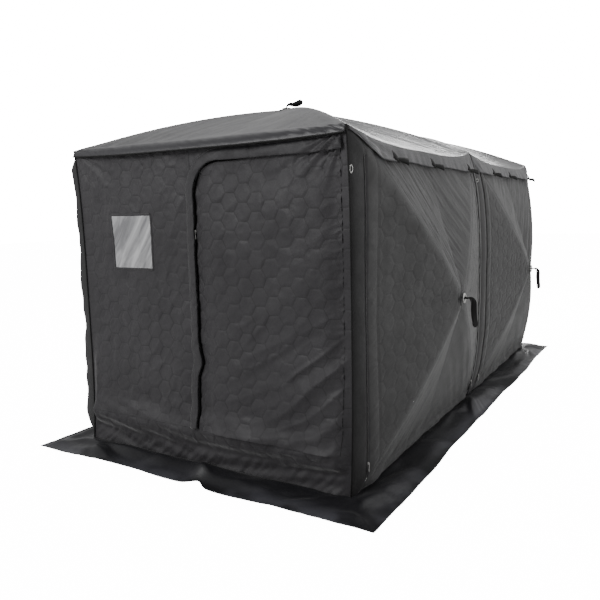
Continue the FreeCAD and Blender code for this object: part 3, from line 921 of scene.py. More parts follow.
def end_wall_cloth(name, end, seed):
    """An end wall round its window and doorway."""
    xs = grid_lines(-HALF_WIDTH, WINDOW_LEFT, WINDOW_RIGHT, DOOR_LEFT, DOOR_LEFT + DOOR_ARCH,
                    DOOR_RIGHT, HALF_WIDTH)
    zs = grid_lines(0.0, DOOR_SILL, WINDOW_SILL, WINDOW_HEAD, DOOR_HEAD - DOOR_ARCH, DOOR_HEAD, HEIGHT)
    x, z = np.meshgrid(xs, zs)
    middle_x, middle_z = (xs[1:] + xs[:-1]) / 2, (zs[1:] + zs[:-1]) / 2
    mx, mz = np.meshgrid(middle_x, middle_z)
    in_window = (mx > WINDOW_LEFT) & (mx < WINDOW_RIGHT) & (mz > WINDOW_SILL) & (mz < WINDOW_HEAD)
    keep = (door_outline_distance(mx, mz) > 0) & ~in_window
    x, z = snapped_to_arch(x, z)
    piece = grid_piece(f"{name}_end_wall_cloth", end_wall_shape(end, x, z, seed), keep, WALL_CLOTH)
    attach(piece, "shelter")
    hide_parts(f"{name}_end_wall")


def drawn_back(x, z):
    """Draws the door's cloth back from its zip, which leaves a dark gap."""
    left = RECESS * smooth(0.08, 0.0, x - DOOR_LEFT)
    head = RECESS * smooth(0.08, 0.0, DOOR_HEAD - z) * (1 - 0.7 * smooth(0.22, 0.4, x))
    return x + left, z - head


DOOR_BEND = 0.07  # how far in from the door's sewn edge a second point is worked out; it is not used


def door_cloth(name, end, seed):
    """The door flap."""
    xs = grid_lines(DOOR_LEFT, DOOR_LEFT + DOOR_ARCH, DOOR_RIGHT)
    zs = grid_lines(DOOR_SILL, DOOR_HEAD - DOOR_ARCH, DOOR_HEAD)
    x, z = np.meshgrid(xs, zs)
    mx, mz = np.meshgrid((xs[1:] + xs[:-1]) / 2, (zs[1:] + zs[:-1]) / 2)
    keep = door_outline_distance(mx, mz) < 0
    x, z = snapped_to_arch(x, z)
    x, z = drawn_back(x, z)
    points = end_wall_shape(end, x, z, seed, door=True)
    piece = grid_piece(f"{name}_door_cloth", points, keep, WALL_CLOTH)
    sewn_edge, bent = (end_point(end, DOOR_RIGHT - d, 1.0, 0.0).tolist() for d in (0.0, DOOR_BEND))
    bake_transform(piece)
    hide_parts(f"{name}_door")


def door_zip_path(step=0.012, start=DOOR_SILL):
    """The zip's line: up the left edge, round the arch and along the head, as x and z."""
    centre_x, centre_z = DOOR_LEFT + DOOR_ARCH, DOOR_HEAD - DOOR_ARCH
    rise = [(DOOR_LEFT, 0, z) for z in np.linspace(start, centre_z, 60)]
    turn = [(centre_x + DOOR_ARCH * math.cos(a), 0, centre_z + DOOR_ARCH * math.sin(a))
            for a in np.linspace(math.pi, math.pi / 2, 24)[1:]]
    head = [(x, 0, DOOR_HEAD) for x in np.linspace(centre_x, DOOR_RIGHT + 0.015, 40)[1:]]
    return resample(rise + turn + head, step)


def on_end_wall(end, x, z, lift, seed, door=False):
    """World points a given height off the end wall's cloth."""
    points = end_wall_shape(end, x, z, seed, door)
    points[..., 1] += end * lift
    return points


def end_wall_strip(name, end, path, profile, material, seed, door=False):
    """A strip laid on the end wall along a path of x and z, aside being to the path's left."""
    direction = tangents(path)
    aside = np.stack([-direction[:, 2], direction[:, 0]], -1)
    profile = np.asarray(profile, float)
    x = path[:, None, 0] + aside[:, None, 0] * profile[None, :, 0]
    z = path[:, None, 2] + aside[:, None, 1] * profile[None, :, 0]
    points = on_end_wall(end, x, z, profile[None, :, 1], seed, door)
    return grid_piece(name, points, material=material)


def storm_flap(name, end, seed):
    """The puckered cloth band that covers the door's zip from the outside edge."""
    path = door_zip_path()
    distance = along(path)[:, None]
    share = np.linspace(0, 1, 11)[None, :]
    aside = FLAP_WIDTH * (1 - share) - 0.006 * share
    lift = 0.003 + 0.018 * np.sin(share * math.pi * 0.62) ** 0.8
    lift = lift + 0.0035 * folds(distance, share * FLAP_WIDTH, 60, 0.1, 0.022, seed + 31) * share
    wander = 0.004 * noise(distance * 3.1, 0, seed + 32) * share
    direction = tangents(path)
    x = path[:, None, 0] - direction[:, None, 2] * (aside + wander)
    z = path[:, None, 2] + direction[:, None, 0] * (aside + wander)
    piece = grid_piece(f"{name}_door_storm_flap", on_end_wall(end, x, z, lift, seed),
                       material=PLAIN_CLOTH)
    thicken(piece, 0.002)
    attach(piece, "shelter")


def door_zip(name, end, seed):
    """Black zip tape and its coil behind the door's edges, a black sheet behind the door's sewn edge and sill
    as painted shade of the dark inside, and the flap's stitched seam.
    """
    path = door_zip_path()
    half = ZIP_TAPE / 2
    tape = end_wall_strip("tape", end, path,
                          [(-half, -0.012), (-0.012, -0.011), (-0.008, -0.007), (-0.004, -0.011),
                           (0.004, -0.010), (half, -0.006)], PIPING, seed)
    # A black sheet behind the gaps along the door's sewn edge and sill: painted shade, in place of the dark
    # inside.
    hem = resample([(DOOR_RIGHT, 0, DOOR_HEAD), (DOOR_RIGHT, 0, DOOR_SILL), (DOOR_LEFT - 0.03, 0, DOOR_SILL)],
                   0.012)
    gap_shade_sheet = end_wall_strip("gap_shade_sheet", end, hem, [(-0.03, -0.014), (0, -0.014), (0.03, -0.014)], PIPING,
                            seed)
    tape = join(f"{name}_door_zip_tape", [tape, gap_shade_sheet])
    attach(tape, "shelter")
    seam = end_wall_strip(f"{name}_door_flap_seam", end, door_zip_path(),
                          [(FLAP_WIDTH - 0.004, 0.001), (FLAP_WIDTH, 0.0045), (FLAP_WIDTH + 0.005, 0.001)],
                          PLAIN_CLOTH, seed)
    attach(seam, "shelter")


def wall_seam(name, end, seed):
    """The upright seam tape over the door's left edge, from the eave to the foot."""
    x = DOOR_LEFT - 0.037
    path = np.array([(x, 0, z) for z in np.linspace(0.15, HEIGHT - 0.03, 120)])
    piece = end_wall_strip(f"{name}_wall_seam", end, path,
                           [(0.012, 0.0005), (0.009, 0.0022), (-0.009, 0.0022), (-0.012, 0.0005)],
                           PLAIN_CLOTH, seed)
    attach(piece, "shelter")
    parts = []
    for low, high in ((-HALF_WIDTH + 0.01, DOOR_LEFT - 0.06), (DOOR_RIGHT + 0.012, HALF_WIDTH - 0.01)):
        path = resample([(low, 0, DOOR_SILL), (high, 0, DOOR_SILL)], 0.012)
        parts.append(end_wall_strip("seam", end, path, [(0.004, 0.0005), (0.0, 0.003), (-0.004, 0.0005)],
                                    PLAIN_CLOTH, seed))
    piece = join(f"{name}_foot_seam", parts)
    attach(piece, "shelter")


def window(name, end, seed):
    """Clear film with slight waves, and its sewn binding."""
    xs, zs = np.linspace(WINDOW_LEFT, WINDOW_RIGHT, 42), np.linspace(WINDOW_SILL, WINDOW_HEAD, 42)
    x, z = np.meshgrid(xs, zs)
    inside = (smooth(0, 0.04, x - WINDOW_LEFT) * smooth(0, 0.04, WINDOW_RIGHT - x)
              * smooth(0, 0.04, z - WINDOW_SILL) * smooth(0, 0.04, WINDOW_HEAD - z))
    base = end_wall_shape(end, x, z, seed)
    edge_out = np.mean(np.concatenate([base[0, :, 1], base[-1, :, 1]]))
    wave = 0.004 * folds(x, z, 55, 0.3, 0.06, seed + 41) + 0.003 * noise(x * 14, z * 9, seed + 42)
    base[..., 1] = base[..., 1] * (1 - inside) + edge_out * inside + end * wave * inside
    film = grid_piece(f"{name}_window_film", base, material=FILM)
    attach(film, "shelter")
    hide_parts("window_panes")
    corners = [(WINDOW_LEFT, 0, WINDOW_SILL), (WINDOW_RIGHT, 0, WINDOW_SILL),
               (WINDOW_RIGHT, 0, WINDOW_HEAD), (WINDOW_LEFT, 0, WINDOW_HEAD)]
    parts = []
    for k in range(4):
        path = resample([corners[k], corners[(k + 1) % 4]], 0.01)
        parts.append(end_wall_strip(f"{name}_window_side_{k}", end, path,
                                    [(-0.009, 0.0005), (-0.007, 0.003), (0.002, 0.0035), (0.006, 0.0)],
                                    PLAIN_CLOTH, seed))
    binding = join(f"{name}_window_binding", parts)
    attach(binding, "shelter")


# Roof edges


def eave_line(end, sign, count=160):
    """Points along a side eave, from the end corner to the middle, where the roof cloth folds."""
    s = np.linspace(-1, 1, count)
    shape = arch_shape(s)
    y = end * (HALF_CUBE - HALF_CUBE * s)
    x = sign * (HALF_WIDTH + EAVE_OUT * shape)
    return np.stack([x, y, HEIGHT - EAVE_SAG * shape], -1), s


def valance(panel, sign):
    """The roof cloth turned down over a side eave, scalloped between its ties."""
    line, s = eave_line(panel.end, sign)
    share = np.linspace(0, 1, 15)
    scallop = 0.008 * np.cos(s * math.pi * 1.5) ** 2
    depth = (0.142 + scallop) * (0.10 + 0.90 * smooth(-1.05, -0.72, s))
    bottom = np.minimum(HEIGHT - depth, line[:, 2] - 0.012)
    z = line[:, None, 2] * (1 - share) + bottom[:, None] * share
    side_panel = next(p for p in PANELS if p.name == f"{'right' if sign > 0 else 'left'}_"
                      f"{'front' if panel.end < 0 else 'rear'}")
    p = (line[:, None, 1] - side_panel.origin[1]) * side_panel.axes[0][1]
    q = z - HEIGHT / 2
    rise = side_panel.rise(np.broadcast_to(p, q.shape), q)
    ripple = 0.004 * folds(line[:, None, 1] + 0 * z, z, 70, 0.2, 0.05, panel.seed + 51) * share
    stand = 0.007 + 0.010 * share * (1 - np.abs(s[:, None]) ** 8) + ripple
    near_corner = 1 - np.abs(s[:, None])
    turn = np.arctan2(share * 0.15, near_corner + 0.02)
    rays = 0.011 * np.exp(-near_corner / 0.3) * noise(turn * 8, near_corner * 1.2, panel.seed + 52) * share
    points = np.stack([sign * (HALF_WIDTH + rise + stand + rays), line[:, None, 1] + 0 * z, z], -1)
    points[:, 0, :] = line
    name = f"{panel.name}_valance_{'right' if sign > 0 else 'left'}"
    piece = grid_piece(name, points, material=ROOF_CLOTH)
    thicken(piece, 0.0015)
    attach(piece, "shelter")


def eave_band(end_name, end, seed):
    """The roof cloth turned down over an end eave, gathered along its piping."""
    roof = next(p for p in PANELS if p.roof and p.end == end)
    xs = np.linspace(-HALF_WIDTH, HALF_WIDTH, 240)
    arch = arch_shape(xs / HALF_WIDTH)
    inward = 0.004 + EAVE_ROLL * arch_shape(xs / HALF_WIDTH, 2.0)
    start = roof.world(xs, end * (HALF_CUBE - inward), roof.rise(xs, end * (HALF_CUBE - inward)) + 0.0015)
    edge = end_point(end, -end * xs, HEIGHT - eave_drop(xs), FRONT_EAVE_OUT * arch)
    turn = edge + np.stack([0 * xs, end * (0.006 + 0.010 * arch), 0.005 + 0.021 * arch], -1)
    stop = edge + np.stack([0 * xs, end * (0.014 + 0.014 * arch), -EAVE_BAND * (0.9 + 0.1 * arch)], -1)
    share = np.linspace(0, 1, 19)[None, :, None]
    points = ((1 - share) ** 2 * start[:, None] + 2 * share * (1 - share) * turn[:, None]
              + share**2 * stop[:, None])
    share = share[..., 0]
    tightness = 1 + 1.6 * bump(np.abs(xs), HALF_WIDTH, 0.28)[:, None]
    gathers = 0.0021 * folds(xs[:, None], share * 0.12, 38, 0.12, 0.024, seed + 61) * tightness
    points[..., 1] += end * gathers * np.sin(share * math.pi)
    points[..., 2] += 0.5 * gathers * np.sin(share * math.pi)
    piece = grid_piece(f"eave_band_{end_name}", points, material=ROOF_CLOTH)
    thicken(piece, 0.0015)
    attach(piece, "shelter")
    line = resample(points[:, -1, :], 0.015)
    cord = tube(f"eave_piping_{end_name}", line, PIPING_RADIUS, PIPING)
    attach(cord, "shelter")


def piping_cords():
    """Dark piping on the upright corners, the end eaves and the middle seam."""
    zs = np.linspace(PIPING_RADIUS, HEIGHT, 110)
    for end_name, end in (("front", -1), ("rear", 1)):
        for side_name, sign in (("right", 1), ("left", -1)):
            edge_x = sign * (HALF_WIDTH + wall_edge(end, -end * sign, zs) + 0.002)
            path = np.stack([edge_x, 0 * zs + end * (LENGTH + 0.002), zs], -1)
            piece = tube(f"corner_piping_{end_name}_{side_name}", path, PIPING_RADIUS, PIPING)
            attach(piece, "shelter")
        eave_band(end_name, end, 700 + 10 * end)
    for side_name, sign in (("right", 1), ("left", -1)):
        bow = MIDDLE_BOW * arch_shape(2 * zs / HEIGHT - 1, 3.5)
        path = np.stack([sign * (HALF_WIDTH + bow + 0.002), 0 * zs, zs], -1)
        piece = tube(f"middle_piping_{side_name}", path, PIPING_RADIUS * 1.2, PIPING)
        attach(piece, "shelter")


# Skirt


def skirt_folds(x, y, share, seed):
    """Loose folds: long ones that fan out of the corners and the middle seams' feet, and slack."""
    lift = 0 * x
    feet = [(sx * HALF_WIDTH, sy * LENGTH) for sx in (-1, 1) for sy in (-1, 0, 1)]
    for k, (foot_x, foot_y) in enumerate(feet):
        reach = np.hypot(x - foot_x, y - foot_y)
        turn = np.arctan2(y - foot_y, x - foot_x)
        rays = np.abs(noise(np.cos(turn) * 3.7 + 9, np.sin(turn) * 3.7 + 9, seed + 20 + k))
        fan = bump(reach, 0.36, 0.26) * smooth(0.03, 0.25, reach)
        lift = lift + 0.040 * np.clip(1 - 2.4 * rays, 0, 1) ** 1.4 * fan
    on_side = smooth(-0.06, 0.06, np.abs(x) - HALF_WIDTH - np.abs(y) + LENGTH)
    slack = folds(x, y, -12, 0.9, 0.17, seed + 2) * (1 - on_side)
    slack = slack + folds(x, y, 66, 0.8, 0.19, seed + 3) * on_side
    lift = lift + 0.050 * np.clip(slack + 0.1, 0, None)
    ridge = creases(x, y, 10, 0.7, 0.2, seed + 5) * (1 - on_side)
    ridge = ridge + creases(x, y, 78, 0.7, 0.2, seed + 6) * on_side
    lift = lift + 0.014 * ridge
    # the fold that runs out from under the door's zip to the notch in the hem
    beside = x - 0.02 - 0.35 * (-LENGTH - y)
    lift = lift + 0.034 * bump(beside, 0.0, 0.045) * (y < -LENGTH) * smooth(0.1, 0.5, share)
    lift = lift * smooth(0.0, 0.3, share) * (1 - 0.88 * smooth(0.5, 0.97, share))
    return np.clip(lift, 0, None)


def softened(height, times=4):
    """Heights on a closed ring of columns, blurred a little in both directions."""
    for _ in range(times):
        ring = height[:, :-1]
        ring = (np.roll(ring, 1, 1) + 2 * ring + np.roll(ring, -1, 1)) / 4
        ring[1:-1] = (ring[:-2] + 2 * ring[1:-1] + ring[2:]) / 4
        height = np.concatenate([ring, ring[:, :1]], 1)
    return height


SKIRT_STEP = 0.0105


def ground_skirt():
    """One ring of cloth, sewn to the walls' feet, with mitred corners and a hemmed edge."""
    corners = [(-HALF_WIDTH, -LENGTH), (HALF_WIDTH, -LENGTH), (HALF_WIDTH, LENGTH), (-HALF_WIDTH, LENGTH)]
    inner, outer = [], []
    width = SKIRT_WIDTH
    for k in range(4):
        start, stop = np.array(corners[k]), np.array(corners[(k + 1) % 4])
        count = int(np.linalg.norm(stop - start) / SKIRT_STEP)
        for t in np.arange(count) / count:
            inner.append(start + (stop - start) * t)
            far_start, far_stop = (c + np.sign(c) * width for c in (start, stop))
            outer.append(far_start + (far_stop - far_start) * t)
    inner, outer = (np.array(v + v[:1]) for v in (inner, outer))
    share = np.linspace(0, 1, 30)[:, None]
    wander = 0.018 * noise(inner[:, 0] * 1.3, inner[:, 1] * 1.1, 331)
    wander += 0.008 * noise(inner[:, 0] * 4.1, inner[:, 1] * 3.9, 332)
    on_front = inner[:, 1] < 0.005 - LENGTH
    wander -= 0.050 * on_front * bump(inner[:, 0], 0.07, 0.045)
    wander -= 0.014 * on_front * bump(inner[:, 0], -0.35, 0.2)
    reach = share + share**2 * wander[None, :] / width
    flat = inner[None] * (1 - reach[..., None]) + outer[None] * reach[..., None]
    x, y = flat[..., 0], flat[..., 1]
    height = 0.0035 + softened(skirt_folds(x, y, share, 340)) + 0.03 * (1 - share) ** 2
    points = np.concatenate([flat, height[..., None]], -1)
    piece = grid_piece("ground_skirt_cloth", points, material=SKIRT_CLOTH)
    thicken(piece, 0.0012, offset=1)
    hem = tube("hem", points[-1] + np.array([0, 0, 0.0015]), 0.003, SKIRT_CLOTH, 8)
    piece = join("ground_skirt_cloth", [piece, hem])
    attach(piece, "shelter")
    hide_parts("ground_skirt")


# Hubs, poles and small parts


def hub_grommet(panel):
    """The metal eyelet round a hub's stem."""
    profile = [(0.0165, 0.0), (0.0175, 0.0035), (0.021, 0.0052), (0.026, 0.0045), (0.0295, 0.0022),
               (0.030, 0.0), (0.026, -0.001), (0.020, -0.001)]
    matrix = panel.matrix(0.0, 0.0, HUB_RISE + 0.001)
    grommet = lathe(f"{panel.name}_hub_grommet", profile, matrix, METAL)
    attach(grommet, panel.hub)


ROOF_STRAP_HALF, SIDE_STRAP_HALF = 0.0115, 0.0145  # half the webbing's width


def strap_loop(panel):
    """The limp webbing loop: out of the grommet, over and down, and back in a loop."""
    if panel.roof:
        shape = [(0.0, 0.262), (0.0, 0.283), (0.007, 0.294), (0.026, 0.299), (0.048, 0.291), (0.074, 0.297),
                 (0.100, 0.307), (0.114, 0.300), (0.105, 0.289), (0.076, 0.284), (0.048, 0.286),
                 (0.024, 0.291), (0.005, 0.287), (-0.004, 0.276), (-0.004, 0.262)]
    else:
        shape = [(0.0, 0.262), (0.001, 0.285), (-0.004, 0.302), (0.002, 0.318), (0.022, 0.327),
                 (0.06, 0.326), (0.11, 0.330), (0.152, 0.337), (0.166, 0.331), (0.156, 0.321),
                 (0.11, 0.315), (0.06, 0.311), (0.024, 0.312), (0.0, 0.300), (-0.004, 0.282), (-0.004, 0.262)]
    turn = panel.end * -1 if panel.roof else -1
    aside = 0 if panel.roof else 1
    path = []
    for fall, out in shape:
        spot = [0.0, 0.0]
        spot[aside] = turn * fall
        path.append(panel.world(spot[0], spot[1], out))
    path = resample(path, 0.004)
    for _ in range(6):
        path[1:-1] = (path[:-2] + 2 * path[1:-1] + path[2:]) / 4
    across = panel.axes[1 - aside]
    distance = along(path)
    twist = 0.4 * np.sin(distance / distance[-1] * math.pi * 2) + (1.25 if panel.roof else 0.5)
    from_end = np.minimum(distance, distance[-1] - distance)
    half_width = ROOF_STRAP_HALF if panel.roof else SIDE_STRAP_HALF
    half = half_width * (0.35 + 0.65 * smooth(0.02, 0.09, from_end))
    out = np.cross(tangents(path), across)
    side = across[None, :] * np.cos(twist)[:, None] + out * np.sin(twist)[:, None]
    offsets = np.linspace(-1, 1, 7)[None, :, None]
    points = path[:, None, :] + side[:, None, :] * offsets * half[:, None, None]
    piece = grid_piece(f"{panel.name}_hub_strap", points, material=WEBBING)
    thicken(piece, 0.0035, offset=0)
    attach(piece, panel.hub)
    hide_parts(f"{panel.name}_hub_pull")


def pole_piece(name, panel, corner):
    """A flexible pole, bowed a little: rod, two ferrules and flat ends."""
    direction = np.array([-corner[0] * panel.half_p, -corner[1] * panel.half_q])
    diagonal = np.linalg.norm(direction)
    direction /= diagonal
    start, stop = np.array([0.09, -0.020]), np.array([diagonal - 0.05, HUB_PLANE])
    chord = stop - start
    length = np.linalg.norm(chord)
    chord /= length
    normal = np.array([-chord[1], chord[0]])
    share = np.linspace(0, 1, 90)
    reach = 0.035 + share * (length - 0.10)
    bow = 0.046 * 4 * share * (1 - share)
    flat = start + chord * reach[:, None] + normal * bow[:, None]

    def place(points):
        s = points[:, 0]
        p = corner[0] * panel.half_p + direction[0] * s
        q = corner[1] * panel.half_q + direction[1] * s
        return panel.world(p, q, points[:, 1])

    radius = np.where((reach < 0.10) | (reach > length - 0.125), 0.008, 0.0055)
    parts = [tube(name + "_rod", place(flat), radius, FIBREGLASS, 14)]
    tangential = np.cross(panel.axes[2], panel.axes[0] * direction[0] + panel.axes[1] * direction[1])
    for label, low, high in (("root", -0.008, 0.058), ("tip", length - 0.088, length + 0.008)):
        middle = start + chord * (low + high) / 2
        spot = place(middle[None, :])[0]
        x_axis = place((middle + chord)[None, :])[0] - spot
        z_axis = np.cross(x_axis, tangential)
        turn = Matrix([list(x_axis), list(tangential), list(z_axis)]).transposed().to_4x4()
        parts.append(rounded_block(f"{name}_{label}", (high - low, 0.007, 0.018),
                                   Matrix.Translation(Vector(spot)) @ turn, FIBREGLASS, 0.003))
    piece = join(f"{name}_rod", parts)
    corner_point = panel.world(corner[0] * panel.half_p, corner[1] * panel.half_q, 0.0)
    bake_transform(piece)
    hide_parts(name)


def poles(panel):
    """The panel's four poles."""
    for corner in ((-1, -1), (1, -1), (1, 1), (-1, 1)):
        spot = panel.world(corner[0] * panel.half_p, corner[1] * panel.half_q, 0.0)
        length_word = "front" if spot[1] < panel.origin[1] else "rear"
        if panel.roof:
            other = "right" if spot[0] > 0 else "left"
        else:
            other = "top" if spot[2] > panel.origin[2] else "bottom"
        pole_piece(f"{panel.name}_pole_{other}_{length_word}", panel, corner)


SLIDER_HALF = 0.007  # half the length of a slider's body


def slider_piece(name, node, body, normal, place):
    """A zip slider with a bridge and a long tapered pull tab, at a place on the cloth."""
    normal = Vector(normal)
    base = Vector(place)
    turn = Matrix([normal.cross(Vector((0, 0, 1))) * -1, Vector((0, 0, 1)), normal]).transposed().to_4x4()
    body_part = rounded_block(name + "_body", (0.010, 0.014, 0.005), Matrix.Translation(base) @ turn, METAL)
    bridge = rounded_block(name + "_bridge", (0.003, 0.010, 0.003),
                           Matrix.Translation(base + normal * 0.004) @ turn, METAL, 0.001)
    path = [Vector((0, 0.002, 0.0055)), Vector((0, -0.008, 0.006)), Vector((0, -0.030, 0.0045)),
            Vector((0, -0.045, 0.004))]
    path = resample([Matrix.Translation(base) @ turn @ p for p in path], 0.003)
    width = np.interp(np.linspace(0, 1, len(path)), [0, 0.15, 0.8, 1], [0.0018, 0.003, 0.0045, 0.003])
    side = np.array(turn.to_3x3() @ Vector((1, 0, 0)))
    offsets = np.linspace(-1, 1, 5)[None, :, None]
    points = path[:, None, :] + side[None, None, :] * offsets * width[:, None, None]
    tab = grid_piece(name + "_tab", points, material=METAL)
    thicken(tab, 0.0016, offset=0)
    piece = join(name, [body_part, bridge, tab])
    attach(piece, body)
    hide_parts(node)


def side_zip(panel, side):
    """A side panel's upright zip: cloth tape and a raised coil, following the cloth."""
    q = np.linspace(-panel.half_q + 0.105, panel.half_q - 0.13, 150)
    p = side * (panel.half_p - ZIP_INSET) + 0 * q
    bold = 2.5 if side == panel.middle else 1.3
    parts = []
    for label, offsets, lifts, material in (
            ("tape", (-0.012, -0.006, 0.0, 0.006, 0.012), (0.003, 0.0045, 0.005, 0.0045, 0.003), PLAIN_CLOTH),
            ("coil", (-0.0034 * bold, -0.002 * bold, 0.002 * bold, 0.0034 * bold),
             (0.0045, 0.0078, 0.0078, 0.0045), PIPING)):
        grid_p = p[:, None] + np.array(offsets)[None, :]
        grid_q = q[:, None] + 0 * grid_p
        points = panel_surface(panel, grid_p, grid_q, True) + panel.axes[2] * np.array(lifts)[None, :, None]
        parts.append(grid_piece(label, points, material=material))
    piece = join(f"{panel.name}_zip_{'far' if side > 0 else 'near'}", parts)
    follow_hub(piece, panel, side, True)


TOGGLE_PLACES = (-0.6, 0.0, 0.65)  # along the eave, from the panel's middle
TOGGLE_NEAR_STRAP = ((0.0, 0.0, 0.012), (-0.020, 0.006, 0.017), (-0.040, 0.014, 0.018),
                     (-0.058, 0.022, 0.015))
TOGGLE_FAR_STRAP = ((0.0, 0.0, 0.012), (0.016, -0.006, 0.020), (0.034, -0.015, 0.031),
                    (0.048, -0.024, 0.039))


def toggles(panel):
    """Webbing ties with a toggle bar, under the eave."""
    low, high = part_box("eave_toggles")
    drop = HEIGHT - (low.z + high.z) / 2
    for k, place in enumerate(TOGGLE_PLACES):
        q = panel.half_q - drop
        rise = float(panel.rise(place, q)) + 0.036
        matrix = panel.matrix(place, q, rise) @ Matrix.Rotation(-0.39, 4, "X")
        tilt = matrix @ Matrix.Rotation(math.radians(-24), 4, "Z")
        parts = []
        bar = [tilt @ Vector((x, 0.0, 0.008)) for x in (-0.026, -0.013, 0.0, 0.013, 0.026)]
        radius = np.array([0.006, 0.008, 0.006, 0.008, 0.006])
        parts.append(tube("toggle_bar", np.array([list(v) for v in bar]), radius, PLASTIC, 12))
        for path in (TOGGLE_NEAR_STRAP, TOGGLE_FAR_STRAP):
            path = resample([list(matrix @ Vector(spot)) for spot in path], 0.004)
            out = np.array(matrix.to_3x3() @ Vector((0, 0, 1)))
            half = np.linspace(0.010, 0.023, len(path))[:, None, None]
            profile = np.array([(-1, 0), (-0.4, 0.1), (0.4, 0.1), (1, 0)])[None] * half
            tie = grid_piece("toggle_strap", ribbon_points(path, out, profile), material=WEBBING)
            thicken(tie, 0.0018, offset=0)
            parts.append(tie)
        piece = join(f"{panel.name}_eave_toggle_{k}", parts)
        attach(piece, "shelter")
        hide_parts("eave_toggles")


def seam_rings():
    """Small metal rings hung near the tops of the upright seams."""
    for side_name, sign in (("right", 1), ("left", -1)):
        front_bow = SLACK_CORNER_BOW * 0.6 if sign < 0 else CORNER_BOW
        for place_name, y, bow in (("front", -LENGTH, front_bow), ("middle", 0.0, 0.065),
                                   ("rear", LENGTH, CORNER_BOW)):
            centre = Vector((sign * (HALF_WIDTH + bow + 0.006), y, 1.6))
            turn = (Matrix.Rotation(math.radians(90), 4, "X")
                    @ Matrix.Rotation(math.radians(30 * sign), 4, "Y"))
            profile = [(0.010 + 0.0022 * math.cos(a), 0.0022 * math.sin(a))
                       for a in np.linspace(0, 2 * math.pi, 10, endpoint=False)]
            if place_name != "middle":
                turn = Matrix.Diagonal((1, 1, 1.7, 1)) @ turn @ Matrix.Diagonal((0.6, 1, 1, 1))
            ring = lathe(f"seam_ring_{place_name}_{side_name}", profile, Matrix.Translation(centre) @ turn,
                         METAL, 28)
            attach(ring, "shelter")


# Stage


def make_camera():
    """The main view."""
    yaw, pitch, roll = (math.radians(a) for a in (CAMERA_YAW, CAMERA_PITCH, CAMERA_ROLL))
    forward = Vector((math.sin(yaw) * math.cos(pitch), math.cos(yaw) * math.cos(pitch), math.sin(pitch)))
    right = Vector((math.cos(yaw), -math.sin(yaw), 0))
    up = right.cross(forward)
    tilted_right = right * math.cos(roll) + up * math.sin(roll)
    tilted_up = up * math.cos(roll) - right * math.sin(roll)
    data = bpy.data.cameras.new("camera")
    data.lens = CAMERA_LENS
    data.sensor_width = 36
    camera = bpy.data.objects.new("camera", data)
    turn = Matrix([tilted_right, tilted_up, -forward]).transposed().to_4x4()
    camera.matrix_world = Matrix.Translation(CAMERA_PLACE) @ turn
    bpy.context.scene.collection.objects.link(camera)
    bpy.context.scene.camera = camera


def area_light(name, place, target, size, power):
    """A soft box aimed at a point."""
    data = bpy.data.lights.new(name, "AREA")
    data.shape = "RECTANGLE"
    data.size, data.size_y = size
    data.energy = power
    light = bpy.data.objects.new(name, data)
    light.location = place
    light.rotation_euler = (Vector(target) - Vector(place)).to_track_quat("-Z", "Y").to_euler()
    bpy.context.scene.collection.objects.link(light)


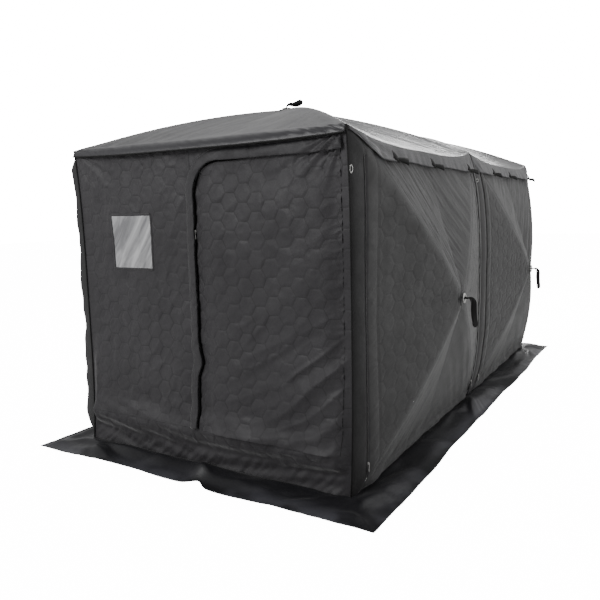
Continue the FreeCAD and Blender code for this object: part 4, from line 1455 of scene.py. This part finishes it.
def make_stage():
    """Pale floor, white surround and soft boxes."""
    material, tree, shader = new_material("floor")
    shader.inputs["Base Color"].default_value = (0.8, 0.8, 0.8, 1)
    shader.inputs["Roughness"].default_value = 0.9
    seen = add_node(tree, "ShaderNodeLightPath")
    glow = math_node(tree, "MULTIPLY", seen.outputs["Is Camera Ray"], FLOOR_GLOW)
    shader.inputs["Emission Color"].default_value = (1, 1, 1, 1)
    link(tree, glow, shader.inputs["Emission Strength"])
    corners = [(sx * FLOOR_HALF, sy * FLOOR_HALF, -0.003) for sx, sy in ((-1, -1), (1, -1), (1, 1), (-1, 1))]
    floor = mesh_piece("floor", corners, [(0, 1, 2, 3)], material)
    world = bpy.data.worlds.new("studio")
    world.use_nodes = True
    tree = world.node_tree
    background = tree.nodes["Background"]
    background.inputs["Color"].default_value = (1, 1, 1, 1)
    seen = add_node(tree, "ShaderNodeLightPath")
    extra = math_node(tree, "MULTIPLY", seen.outputs["Is Camera Ray"], BACKDROP_GLOW)
    gleam = math_node(tree, "MULTIPLY", seen.outputs["Is Glossy Ray"], WORLD_GLEAM)
    total = math_node(tree, "ADD", math_node(tree, "ADD", extra, gleam), WORLD_LIGHT)
    link(tree, total, background.inputs["Strength"])
    bpy.context.scene.world = world
    area_light("overhead", (0.8, 0.8, 6.0), (0, 0, 0.8), (5, 6), 150)
    area_light("right_rear", (6.5, 1.0, 2.6), (0.9, 0.0, 0.9), (3, 3), 110)
    area_light("front_left", (-2.6, -7.6, 4.5), (0, -1.9, 0.9), (2.5, 2.5), 300)
    area_light("roof_sheen", (-1.7, 6.8, 3.5), (0.7, -0.5, 1.85), (3, 2.5), 230)


PANELS = make_panels()

make_camera()
make_stage()
for each in PANELS:
    panel_cloth(each)
    hub_grommet(each)
    strap_loop(each)
    poles(each)
    if each.roof:
        for eave in (-1, 1):
            valance(each, eave)
    else:
        toggles(each)
        for edge in (-1, 1):
            side_zip(each, edge)
            y = each.world(edge * each.half_p, 0.0, 0.0)[1]
            word = "front" if y < each.origin[1] else "rear"
            node_name = f"{each.name}_zip_slider_{word}"
            slider_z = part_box(node_name)[1].z - SLIDER_HALF - HEIGHT / 2
            spot = panel_surface(each, np.array([edge * (each.half_p - ZIP_INSET)]), np.array([slider_z]),
                                 True)[0] + each.axes[2] * 0.012
            slider_piece(f"{node_name}_detail", node_name, node_name, each.axes[2], spot)
for k, (end_name, end_sign) in enumerate((("front", -1), ("rear", 1))):
    wall_seed = 500 + 60 * k
    end_wall_cloth(end_name, end_sign, wall_seed)
    door_cloth(end_name, end_sign, wall_seed)
    door_zip(end_name, end_sign, wall_seed)
    storm_flap(end_name, end_sign, wall_seed)
    wall_seam(end_name, end_sign, wall_seed)
    window(end_name, end_sign, wall_seed)
    slider_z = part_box(f"{end_name}_door_slider")[1].z - SLIDER_HALF
    spot = on_end_wall(end_sign, np.array([DOOR_LEFT + 0.006]), np.array([slider_z]), 0.004, wall_seed)[0]
    slider_piece(f"{end_name}_door_slider_detail", f"{end_name}_door_slider", f"{end_name}_door_slider",
                 (0, end_sign, 0), spot)
ground_skirt()
piping_cords()
seam_rings()
for node_name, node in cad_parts.items():
    if node_name.endswith("_hub") or node_name == "corner_brackets":
        node.data.materials.clear()
        node.data.materials.append(PLASTIC)
